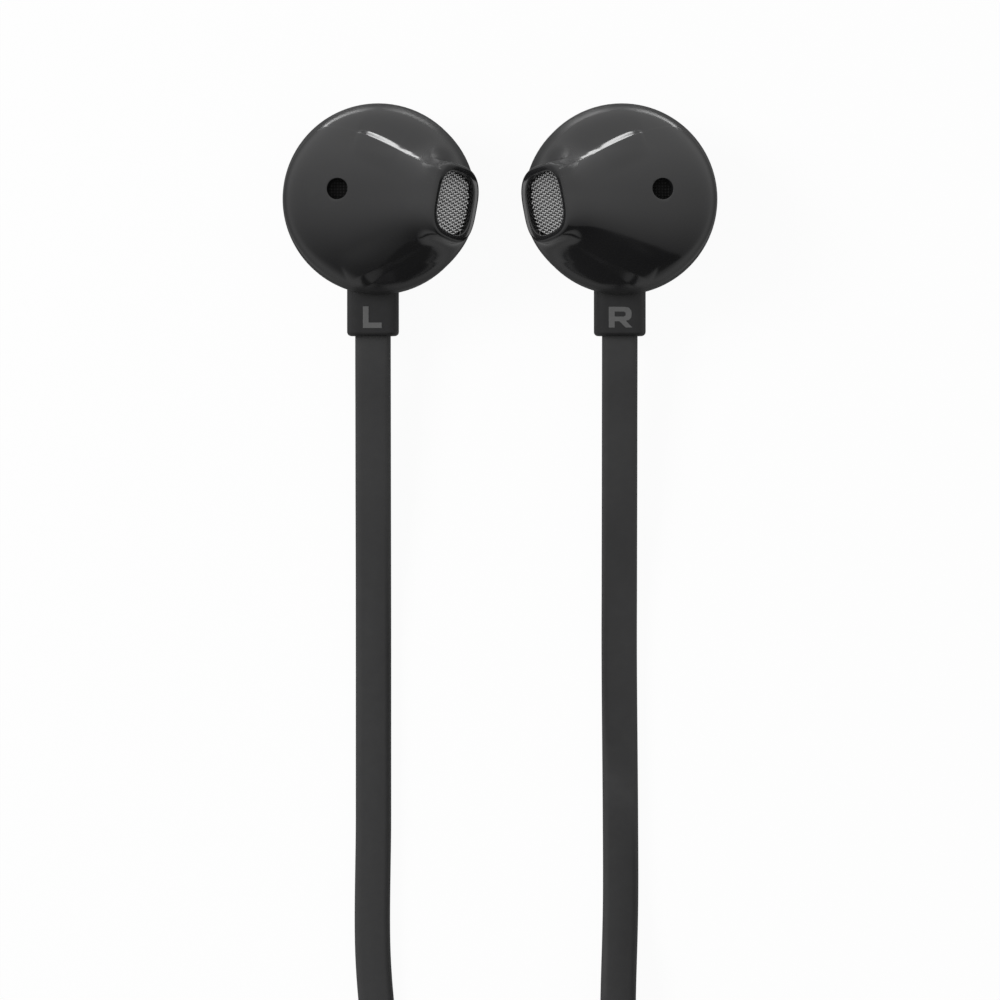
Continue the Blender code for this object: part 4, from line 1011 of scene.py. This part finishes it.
# %% Vent
VENT_X, VENT_Y, VENT_RADIUS = -3.5 * MM, 0.74 * MM, 0.97 * MM
front_shell = wrapped("front_shell", shell_sections(), ends="joined")
_, vent_place, vent_normal, _ = front_shell.ray_cast(
    Vector((VENT_X, VENT_Y, 0.02)), Vector((0, 0, -1))
)
flare = 0.16 * MM
vent_wall = VENT_RADIUS - flare / 2
vent_profile = [(vent_wall, -2 * MM), (vent_wall, -flare)]
for step in range(1, 7):
    bend = math.pi / 2 * step / 6 * 0.85
    vent_profile.append((vent_wall + flare * (1 - math.cos(bend)),
                         -flare + flare * math.sin(bend)))
vent_profile.append((VENT_RADIUS + 0.3 * MM, 0.3 * MM))
vent_cutter = turned("vent_cutter", vent_profile, 64)
vent_cutter.data.transform(
    Matrix.Translation(vent_place)
    @ vent_normal.to_track_quat("Z", "Y").to_matrix().to_4x4()
)

cut(front_shell, vent_cutter)
print("front shell faces:", len(front_shell.data.polygons))
right_front = into_bud(linked("right_front", front_shell.data.copy()), "right")
finished(into_bud(front_shell, "left"), "left_face_shell", gloss_black, "gloss_black",
         "left_front_shell", degrees=50)
finished(right_front, "right_face_shell", gloss_black, "gloss_black", "right_front_shell",
         degrees=50)

# %% [markdown]
# ## The rear shells
# The bowl behind each face is turned: its outline is nearly square, so it holds a full driver in a
# small space. A slim dark gap parts it from the face, with the tongue that locates the two behind
# it.

# %% Rear shells
BOWL_DEPTH = 6.2 * MM
BOWL_FLAT = 2.2 * MM
BOWL_SQUARENESS = 2.4
SEAM = 0.3 * MM


def bowl_profile(depth, radius, top, steps):
    """The bowl's outline from its upper edge down to the flat."""
    points = []
    for step in range(steps + 1):
        height = top + (-depth - top) * math.sin(math.pi / 2 * step / steps)
        rise = (1 - min(1, -height / depth) ** BOWL_SQUARENESS) ** (1 / BOWL_SQUARENESS)
        points.append((BOWL_FLAT + (radius - BOWL_FLAT) * rise, height))
    return points


tongue = HEAD_RADIUS - SHELL_WALL - 0.4 * MM
tongue_inside, tongue_top = tongue - 0.4 * MM, 0.7 * MM
seat_inside, seat_bottom, seat_top = tongue - 1.2 * MM, -1.7 * MM, -1.1 * MM
rear_profile = [(0.01 * MM, -BOWL_DEPTH + SHELL_WALL)]
rear_profile += list(reversed(
    bowl_profile(BOWL_DEPTH - SHELL_WALL, HEAD_RADIUS - SHELL_WALL, seat_bottom, 12)
))
rear_profile += [(seat_inside, seat_bottom), (seat_inside, seat_top), (tongue_inside, seat_top),
                 (tongue_inside, tongue_top), (tongue, tongue_top), (tongue, -SEAM),
                 (HEAD_RADIUS - 0.12 * MM, -SEAM)]
outer_profile = bowl_profile(BOWL_DEPTH, HEAD_RADIUS, -SEAM - 0.08 * MM, 28)
rear_profile += [(HEAD_RADIUS - 0.04 * MM, -SEAM - 0.02 * MM), *outer_profile]
rear_profile += [(0.01 * MM, -BOWL_DEPTH)]

NECK_HALF_WIDTH = 2.25 * MM
NECK_HALF_DEPTH = 1.5 * MM
NECK_CORNER = 1.1 * MM
NECK_GAP = 0.12 * MM


def rounded_bar(name, half_x, half_z, corner, start_y, end_y, x, z, end_rounding=0.0):
    """A block stretched along Y, with its long edges bevelled round and its -Y end softened."""
    length = abs(end_y - start_y)
    piece = block((x, (start_y + end_y) / 2, z), (half_x, length / 2, half_z))
    bevelled(piece, lambda first, second: abs(first.y - second.y) > length / 2, corner, 8)
    if end_rounding:
        end = min(start_y, end_y) + 1e-7
        bevelled(piece, lambda first, second: max(first.y, second.y) < end, end_rounding, 5)
    piece.name = name
    return piece


for side in ("left", "right"):
    bowl = turned(side + "_bowl", rear_profile, 160)
    bowl.data.transform(Matrix.Translation(PLACES[side].translation))
    pocket = rounded_bar(
        side + "_pocket", NECK_HALF_WIDTH + NECK_GAP, NECK_HALF_DEPTH + NECK_GAP,
        NECK_CORNER + NECK_GAP, -5.4 * MM, NECK_END_Y, NECK_X[side], NECK_Z,
    )
    cut(bowl, pocket)
    finished(bowl, side + "_bowl_shell", gloss_black, "gloss_black", side + "_rear_shell")

# %% [markdown]
# ## The neck sleeves and their marks
# The sleeve is soft-touch rubber over the cord's knot. It starts as a cube: its long edges are
# bevelled with eight steps and its free end is softened, then the cord's channel is cut. The mark
# on it is a flat letter that stands a hair proud.

# %% Sleeves
for side in ("left", "right"):
    sleeve = rounded_bar(
        side + "_sleeve", NECK_HALF_WIDTH, NECK_HALF_DEPTH, NECK_CORNER,
        -5.135 * MM, NECK_END_Y, NECK_X[side], NECK_Z, end_rounding=0.35 * MM,
    )
    channel = rounded_bar(
        side + "_channel", CORD_WIDTH / 2 + 0.1 * MM, CORD_THICKNESS / 2 + 0.1 * MM,
        CORD_THICKNESS / 2, -5.3 * MM, NECK_END_Y - 1 * MM, NECK_X[side], NECK_Z,
    )
    cut(sleeve, channel)
    finished(sleeve, side + "_neck_sleeve_soft", satin_black, "satin_black", side + "_neck_sleeve")

# %% Marks: outlines in shares of the letter's width and height
LETTERS = {
    "left": (-11.09, 1.63, 1.88, [[
        (0, 0), (1, 0), (1, 0.25), (0.3, 0.25), (0.3, 1), (0, 1),
    ]]),
    "right": (10.47, 2.06, 1.80, [[
        (0, 0), (0.25, 0), (0.25, 0.3), (0.45, 0.3), (0.72, 0), (1.0, 0), (0.72, 0.33),
        (0.85, 0.36), (0.95, 0.48), (0.97, 0.64), (0.95, 0.82), (0.86, 0.95), (0.7, 1), (0, 1),
    ], [
        (0.25, 0.53), (0.25, 0.77), (0.64, 0.77), (0.71, 0.72), (0.71, 0.58), (0.64, 0.53),
    ]]),
}
LETTER_MIDDLE_Y = -8.45 * MM
SLEEVE_TOP = NECK_Z + NECK_HALF_DEPTH
LETTER_PROUD = 0.04 * MM
for side, (x, width, height, outlines) in LETTERS.items():
    drawing = bpy.data.curves.new(side + "_mark", "CURVE")
    drawing.dimensions = "2D"
    drawing.fill_mode = "BOTH"
    drawing.extrude = LETTER_PROUD
    for outline in outlines:
        spline = drawing.splines.new("POLY")
        spline.points.add(len(outline) - 1)
        for point, (across, up) in zip(spline.points, outline):
            point.co = ((across - 0.5) * width * MM, (up - 0.5) * height * MM, 0, 1)
        spline.use_cyclic_u = True
    select_only(linked(side + "_mark", drawing))
    bpy.ops.object.convert(target="MESH")
    mark = bpy.context.view_layer.objects.active
    mark.data.transform(Matrix.Translation((x * MM, LETTER_MIDDLE_Y, SLEEVE_TOP)))
    finished(mark, side + "_side_mark", letter_grey, "satin_black", degrees=20)

# %% [markdown]
# ## The nozzle mesh
# The mesh is woven steel wire. Each wire is a thin tube that goes over one crossing wire and under
# the next, so one wire's height is a cosine along its length, and neighbours are half a wave
# apart.

# %% Woven mesh
WIRE_PITCH = 0.26 * MM
WIRE_RADIUS = 0.066 * MM
WEAVE_TURN = math.radians(35)
MESH_DEPTH = 0.7 * MM


def wire_tubes(lines, radius, sides=6):
    """Points and faces of closed tubes round lines of points in the mesh's own axes."""
    turn = np.linspace(0, math.tau, sides, endpoint=False)[:, None]
    corners = np.arange(sides)
    points, faces = [], []
    for line in lines:
        ahead = unit(np.gradient(line, axis=0))
        aside = unit(np.cross(ahead, (0, 0, 1.0)))
        up = np.cross(aside, ahead)
        ring = aside[:, None] * np.cos(turn) + up[:, None] * np.sin(turn)
        first = len(points)
        points += list((line[:, None] + radius * ring).reshape(-1, 3))
        tail = len(points) - sides
        for row in range(first, tail, sides):
            faces += np.stack([
                row + corners, row + np.roll(corners, -1), row + sides + np.roll(corners, -1),
                row + sides + corners,
            ], 1).tolist()
        faces += [(first + corners[::-1]).tolist(), (tail + corners).tolist()]
    return points, faces


def woven_lines():
    """Wires in two crossing directions, each cut to the opening it has to close."""
    half_a = MOUTH_HALF_WIDTH - MOUTH_WALL + 0.04 * MM
    half_b = MOUTH_HALF_LENGTH - MOUTH_WALL + 0.04 * MM
    first = np.array((math.cos(WEAVE_TURN), math.sin(WEAVE_TURN)))
    second = np.array((-first[1], first[0]))
    count = int(half_b / WIRE_PITCH)
    fine = np.linspace(-half_b, half_b, 1200)[:, None]
    lines = []
    for ahead, beside_it, phase in ((first, second, 0), (second, first, 1)):
        for index in range(-count, count + 1):
            places = np.abs(fine * ahead + index * WIRE_PITCH * beside_it) / (half_a, half_b)
            inside = fine[(places ** MOUTH_SQUARENESS).sum(1) < 1, 0]
            if len(inside) == 0 or np.ptp(inside) < WIRE_PITCH:
                continue
            steps = max(4, int(np.ptp(inside) / WIRE_PITCH * 5))
            along = np.linspace(inside[0], inside[-1], steps + 1)[:, None]
            plan = along * ahead + index * WIRE_PITCH * beside_it
            height = WIRE_RADIUS * 1.02 * np.cos(math.pi * (along / WIRE_PITCH + index + phase))
            lines.append(np.hstack([plan, height]))
    return lines


wires = woven_lines()
wire_points, wire_faces = wire_tubes(wires, WIRE_RADIUS)
wire_points = np.array(wire_points)
in_place = on_mouth(wire_points[:, 0], wire_points[:, 1], MESH_DEPTH - wire_points[:, 2])
for side in ("left", "right"):
    mesh_data = bpy.data.meshes.new(side + "_woven_mesh")
    mesh_data.from_pydata(in_place.tolist(), [], wire_faces)
    mesh_data.update()
    woven = linked(side + "_woven_mesh", mesh_data)
    edit(woven, "FACE", lambda face: True)
    bpy.ops.mesh.normals_make_consistent(inside=False)
    leave_edit()
    into_bud(woven, side)
    finished(woven, side + "_woven_mesh", mesh_steel, "steel", side + "_nozzle_grille", degrees=60)
print("wires in one mesh:", len(wires))

# %% [markdown]
# ## The remote
# Two half shells with full round ends, a button in a window, and a microphone hole. A pill shape
# is a cube whose upright edges are bevelled by half its width and whose upper edge is softened.

# %% Pill shapes
REMOTE_Y = (REMOTE_TOP_Y + REMOTE_END_Y) / 2


def pill(name, half_x, half_y, bottom, top, soft_top=0.0, soft_bottom=0.0):
    """An upright pill in the middle of the remote, soft at its top and bottom edges if asked."""
    piece = block((REMOTE_X, REMOTE_Y, (bottom + top) / 2), (half_x, half_y, (top - bottom) / 2))
    bevelled(piece, lambda first, second: abs(first.z - second.z) > (top - bottom) / 2,
             half_x * 0.985, 12)
    for height, softness in ((top, soft_top), (bottom, soft_bottom)):
        if softness:
            bevelled(piece, lambda *ends, level=height: all(
                abs(end.z - level) < 1e-7 for end in ends
            ), softness, 5)
    piece.name = name
    return piece


# %% Remote shells and button
REMOTE_HALF_X, REMOTE_HALF_Y, REMOTE_HEIGHT = 3.3 * MM, 15 * MM, 5.4 * MM
REMOTE_WALL = 0.7 * MM
HALF_SEAM = 0.12 * MM


def cord_bore(name):
    return rounded_bar(name, CORD_WIDTH / 2 + 0.1 * MM, CORD_THICKNESS / 2 + 0.1 * MM,
                       CORD_THICKNESS / 2, REMOTE_TOP_Y + 1 * MM, REMOTE_END_Y - 1 * MM,
                       REMOTE_X, REMOTE_Z)


front_half = pill("front_half", REMOTE_HALF_X, REMOTE_HALF_Y, REMOTE_Z + HALF_SEAM, REMOTE_HEIGHT,
                  soft_top=1.1 * MM, soft_bottom=0.06 * MM)
cut(front_half, pill("front_hollow", REMOTE_HALF_X - REMOTE_WALL, REMOTE_HALF_Y - REMOTE_WALL,
                     REMOTE_Z - 1 * MM, REMOTE_HEIGHT - REMOTE_WALL))
cut(front_half, pill("window", 1.85 * MM, 4.4 * MM, REMOTE_Z, REMOTE_HEIGHT + 1 * MM))
hole = start(bpy.ops.mesh.primitive_cylinder_add, vertices=24, radius=0.4 * MM, depth=4 * MM,
             location=(REMOTE_X, REMOTE_Y + 9.5 * MM, REMOTE_HEIGHT))
cut(front_half, hole)
cut(front_half, cord_bore("front_bore"))
finished(front_half, "remote_front", gloss_black, "gloss_black", "remote_front_shell")

rear_half = pill("rear_half", REMOTE_HALF_X, REMOTE_HALF_Y, 0, REMOTE_Z - HALF_SEAM,
                 soft_top=0.06 * MM, soft_bottom=0.9 * MM)
cut(rear_half, pill("rear_hollow", REMOTE_HALF_X - REMOTE_WALL, REMOTE_HALF_Y - REMOTE_WALL,
                    REMOTE_WALL, REMOTE_Z + 1 * MM))
cut(rear_half, cord_bore("rear_bore"))
finished(rear_half, "remote_rear", gloss_black, "gloss_black", "remote_rear_shell")

button = pill("button", 1.7 * MM, 4.25 * MM, 4.2 * MM, REMOTE_HEIGHT + 0.35 * MM,
              soft_top=0.3 * MM)
flange = pill("flange", 2.1 * MM, 4.65 * MM, 4.0 * MM, 4.4 * MM)
cut(button, flange, "UNION")
stem = start(bpy.ops.mesh.primitive_cylinder_add, vertices=32, radius=0.75 * MM, depth=1.2 * MM,
             location=(REMOTE_X, REMOTE_Y, 3.6 * MM))
cut(button, stem, "UNION")
finished(button, "remote_key_cap", gloss_black, "gloss_black", "remote_button", body="remote_key")

# %% [markdown]
# ## The splitter, the plug and the tie
# The splitter is a tapered moulding, skinned over rounded sections. The plug's grip and contacts
# are turned. Its strain relief steps down in ribs, which let it bend evenly.

# %% Sections that change along Y
def oval_section(half_x, half_z, x, y, z, power=2.8, count=48):
    turn = np.linspace(0, math.tau, count, endpoint=False)
    across = half_x * np.sign(np.cos(turn)) * np.abs(np.cos(turn)) ** (2 / power)
    up = half_z * np.sign(np.sin(turn)) * np.abs(np.sin(turn)) ** (2 / power)
    return np.stack([x + across, np.full(count, y), z + up], 1)


ROUNDED_SHARE = 0.06
splitter_sections = []
for share in np.linspace(0, 1, 25):
    swell = 0.72 + 0.28 * smooth_step(share / 0.3) - 0.4 * smooth_step((share - 0.55) / 0.45)
    from_end = min(share, 1 - share, ROUNDED_SHARE) / ROUNDED_SHARE
    end = math.sqrt(1 - (1 - from_end) ** 2)
    size = swell * (0.75 + 0.25 * end)
    splitter_sections.append(oval_section(
        1.7 * MM * size, 2.1 * MM * (0.5 + swell / 2) * (0.85 + 0.15 * end), SPLITTER_X,
        SPLITTER_Y + SPLITTER_LENGTH * (0.5 - share), HANK_Z, 3.4,
    ))
splitter = wrapped("splitter", splitter_sections)
finished(splitter, "splitter_moulding", satin_black, "satin_black", "cord_splitter")

# %% Plug
PLUG_Y = -148.5 * MM
PLUG_RADIUS = 3.3 * MM


def on_plug_axis(piece):
    """Turns a piece that was made about Z so that its +Z looks along +Y, on the plug's axis."""
    piece.data.transform(Matrix.Translation((PLUG_AXIS_X, PLUG_Y, PLUG_AXIS_Z))
                         @ Matrix.Rotation(math.radians(-90), 4, "X"))
    return piece


grip_profile = [(0.6 * MM, 0), (2.4 * MM, 0), (2.8 * MM, -0.15 * MM), (3.15 * MM, -0.5 * MM),
                (PLUG_RADIUS, -1.2 * MM), (PLUG_RADIUS, -9.0 * MM)]
for ridge in range(4):
    top = -9.0 * MM - ridge * 0.9 * MM
    grip_profile += [(PLUG_RADIUS, top), (PLUG_RADIUS - 0.14 * MM, top - 0.1 * MM),
                     (PLUG_RADIUS - 0.14 * MM, top - 0.35 * MM), (PLUG_RADIUS, top - 0.45 * MM)]
grip_profile += [(PLUG_RADIUS, -13.5 * MM), (3.2 * MM, -13.85 * MM), (3.0 * MM, -14 * MM),
                 (0.6 * MM, -14 * MM)]
grip = on_plug_axis(turned("grip", grip_profile))
finished(grip, "plug_grip_turned", gloss_black, "gloss_black", "plug_grip")

RIBS = 7
RIB_DEPTH = 0.16
RELIEF_RADIUS = 2.31
relief_sections = []
for share in np.linspace(0, 1, 8 * RIBS + 1):
    swell = 1 - smooth_step(share) * 0.62
    groove = RIB_DEPTH * (0.5 - 0.5 * math.cos(math.tau * share * RIBS))
    half_x = (0.6 + (RELIEF_RADIUS - 0.6) * swell - groove) * MM
    half_z = (1.55 + (RELIEF_RADIUS - 1.55) * swell - groove) * MM
    relief_sections.append(oval_section(
        half_x, half_z, PLUG_AXIS_X, PLUG_Y + (0.15 + 6.8 * share) * MM, PLUG_AXIS_Z, 2.3,
    ))
relief = wrapped("relief", relief_sections)
finished(relief, "plug_relief_ribbed", satin_black, "satin_black", "plug_strain_relief", degrees=50)

# %% Contacts: sleeve, two rings and tip, with the insulator's collars between them
def contact(name, node, lengths, finish, slot):
    """A turned contact from (radius, distance from the grip's front) pairs."""
    profile = [(radius * MM, -14.1 * MM - down * MM) for radius, down in lengths]
    finished(on_plug_axis(turned(name, profile, 64)), name, finish, slot, node, degrees=30)


PIN = 1.75
contact("plug_sleeve_gold", "plug_sleeve_contact",
        [(0.85, 0), (PIN, 0), (PIN, 5.15), (PIN - 0.05, 5.2), (0.85, 5.2)], gold, "gold")
for ring, near in (("second_ring", 5.7), ("first_ring", 8.0)):
    far = near + 1.8
    contact("plug_" + ring + "_gold", "plug_" + ring,
            [(0.85, near), (PIN - 0.05, near), (PIN, near + 0.05), (PIN, far - 0.05),
             (PIN - 0.05, far), (0.85, far)], gold, "gold")
tip_profile = [(0.5, 10.3), (1.5, 10.3), (1.58, 10.36), (1.5, 10.6), (1.2, 11.15), (1.14, 11.3),
               (1.2, 11.45), (1.5, 11.9), (1.68, 12.2), (1.7, 12.35), (1.62, 12.6), (1.3, 13.4),
               (0.95, 13.9), (0.5, 14.08), (0.1, 14.1)]
contact("plug_tip_gold", "plug_tip", tip_profile, gold, "gold")
core_profile = [(0.3, 0), (0.8, 0)]
for near in (5.25, 7.55, 9.85):
    core_profile += [(0.8, near), (PIN - 0.04, near), (PIN - 0.04, near + 0.4), (0.8, near + 0.4)]
core_profile[-1] = (0.3, 10.25)
contact("plug_core_turned", "plug_core", core_profile, satin_black, "satin_black")

# %% Tie: a strap round the hank
TIE_Y = -134.5 * MM


def strap_block(name, half_x, half_z, corner, half_y):
    return rounded_bar(name, half_x, half_z, corner, TIE_Y - half_y, TIE_Y + half_y, 0, HANK_Z)


tie = strap_block("tie", 19.2 * MM, 2.45 * MM, 1.2 * MM, 2 * MM)
cut(tie, strap_block("tie_hole", 18.6 * MM, 1.85 * MM, 0.6 * MM, 3 * MM))
finished(tie, "cord_tie_strap", satin_black, "satin_black", "cord_tie")

# %% [markdown]
# ## The solids that stay
# The parts inside the heads and the remote have the right shape already, so they only get
# finishes.

# %% Finishes of the solids
KEPT = {
    "nozzle_screen": cloth, "vent_screen": cloth, "driver_frame": frame_plastic,
    "driver_yoke": nickel, "driver_magnet": magnet_alloy, "driver_top_plate": nickel,
    "voice_coil": copper, "diaphragm": film, "terminal_board": board_green,
    "cord_anchor": satin_black,
}
kept = {side + "_" + name: finish for side in ("left", "right") for name, finish in KEPT.items()}
kept.update(remote_board=board_green, remote_switch=can_steel, remote_microphone=can_steel)
for name, finish in kept.items():
    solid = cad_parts[name]
    solid.data.materials.clear()
    solid.data.materials.append(finish.material)
print("solids kept:", len(kept))

# %% [markdown]

# %% [markdown]
# ## Floor and light
# The floor is white paper. To the camera it and the world are plain white, and the floor keeps the
# object's faint soft shadow. One large soft lamp stands to the left. Black gloss shows only what
# it reflects, so the studio is made for the reflections: it is bright above the picture and dim
# below it, two bright cards light the upper ledges, a small card between the heads lights the lips
# of the nozzles, and a dark flag stands below the heads.

# %% Floor
def seen(network):
    """1 for what the camera sees directly, in a reflection or through glass, and 0 for lighting."""
    camera_ray, glossy_ray, through_ray = (
        network.node("ShaderNodeLightPath", output="Is " + ray + " Ray")
        for ray in ("Camera", "Glossy", "Transmission")
    )
    either = network.maths("MAXIMUM", camera_ray, glossy_ray)
    return network.maths("MAXIMUM", either, through_ray)


floor = start(bpy.ops.mesh.primitive_plane_add, size=3, location=(0, -0.05, 0))
floor.name = "floor"
floor.data.materials.append(bpy.data.materials.new("white_paper"))
paper = Network(floor.data.materials[0])
paper.tree.nodes.clear()
matt = paper.node("ShaderNodeBsdfDiffuse", {}, {"Color": (0.85, 0.85, 0.85, 1)})
white = paper.node("ShaderNodeEmission")
mixed = paper.node("ShaderNodeMixShader", {}, {0: seen(paper) * 0.95, 1: matt, 2: white})
paper.feed(paper.tree.nodes.new("ShaderNodeOutputMaterial").inputs["Surface"], mixed)

# %% World: what gloss reflects is bright beyond the heads, dim before them, and dim far below
world = bpy.data.worlds.new("studio")
bpy.context.scene.world = world
studio = Network(world)
ahead, upward = (
    studio.node("ShaderNodeSeparateXYZ", {}, {
        "Vector": studio.node("ShaderNodeTexCoord", output="Generated"),
    }, axis)
    for axis in ("Y", "Z")
)
beyond = studio.maths("MAXIMUM", ahead, 0.0)
towards = studio.maths("MINIMUM", ahead, 0.0)
below = studio.maths("MINIMUM", upward + 0.03, 0.0)
# The last term is light that the table sends back from before the heads
reflected = 0.84 + beyond * 0.6 + towards * 0.7 + upward * 0.12 + towards * below * 1.4
under = studio.ramp(upward, -0.7, -0.2, 0.3, 1.0, "SMOOTHSTEP")
glossy = studio.node("ShaderNodeLightPath", output="Is Glossy Ray")
strength = seen(studio) * 0.55 + 0.45 + glossy * (reflected * under - 1)
studio.feed(studio.tree.nodes["Background"].inputs["Color"], (1, 1, 1, 1))
studio.feed(studio.tree.nodes["Background"].inputs["Strength"], strength)


# %% Lamp and cards
def aimed(place, target, axis):
    """The rotation that points an axis of something at a place towards a target."""
    return (Vector(target) - Vector(place)).to_track_quat(axis, "Y").to_euler()


def card(name, place, target, width, height, strength):
    """A flat card that shows only in reflections."""
    sheet = start(bpy.ops.mesh.primitive_plane_add, size=1, location=place)
    sheet.scale = (width, height, 1)
    sheet.rotation_euler = aimed(place, target, "Z")
    sheet.name = name
    for rays in ("camera", "diffuse", "transmission", "volume_scatter", "shadow"):
        setattr(sheet, "visible_" + rays, False)
    sheet.data.materials.append(bpy.data.materials.new(name))
    paint = Network(sheet.data.materials[0])
    paint.tree.nodes.clear()
    glow = paint.node("ShaderNodeEmission", {}, {"Strength": strength})
    paint.feed(paint.tree.nodes.new("ShaderNodeOutputMaterial").inputs["Surface"], glow)
    return sheet


def toward(azimuth, elevation, distance, origin):
    """A place in a direction: azimuth from +X towards +Y and elevation, in degrees."""
    turn, rise = math.radians(azimuth), math.radians(elevation)
    direction = (math.cos(rise) * math.cos(turn), math.cos(rise) * math.sin(turn), math.sin(rise))
    return Vector(direction) * distance + Vector(origin)


key_data = bpy.data.lights.new("key", "AREA")
key_data.size = 0.25
key_data.energy = 2.6
key = linked("key", key_data)
key.location = (-0.45, 0.15, 0.4)
key.rotation_euler = aimed(key.location, (0, -0.03, 0), "-Z")
key.visible_glossy = False
floor.visible_glossy = False

MOUTH_LEVEL = 9 * MM
middle = (0, 0, MOUTH_LEVEL)
for name, azimuth in (("left_ledge_light", 70), ("right_ledge_light", 110)):
    card(name, toward(azimuth, -26, 0.6, middle), middle, 0.25, 0.1, 9)
card("lip_light", (0, 0.8 * MM, 9.2 * MM), (-1, 0.8 * MM, 9.2 * MM), 5 * MM, 1.2 * MM, 2.2)

# %% A dark flag below the heads, with a top edge that falls off to both sides
FLAG = (
    # azimuth and distance in millimetres from the right head, elevation of the lower and upper edge
    (-118, 34, -5, 12), (-112, 36, -5, 20), (-104, 40, -12, 32), (-92, 50, -5, 44),
    (-76, 65, -5, 50), (-61, 85, -5, 37), (-50, 100, -5, 7),
)
flag_points = []
for azimuth, away, *edges in FLAG:
    for elevation in edges:
        place = toward(azimuth, 0, away * MM, (BUD_X, BUD_Y, MOUTH_LEVEL))
        place.z += away * MM * math.tan(math.radians(elevation))
        flag_points.append(place)
flag_faces = [(corner, corner + 2, corner + 3, corner + 1)
              for corner in range(0, len(flag_points) - 2, 2)]
flag = card("dark_flag", (0, 0, 0), (0, 0, 1), 1, 1, 0.08)
flag.rotation_euler = (0, 0, 0)
flag.data.clear_geometry()
flag.data.from_pydata(flag_points, [], flag_faces)
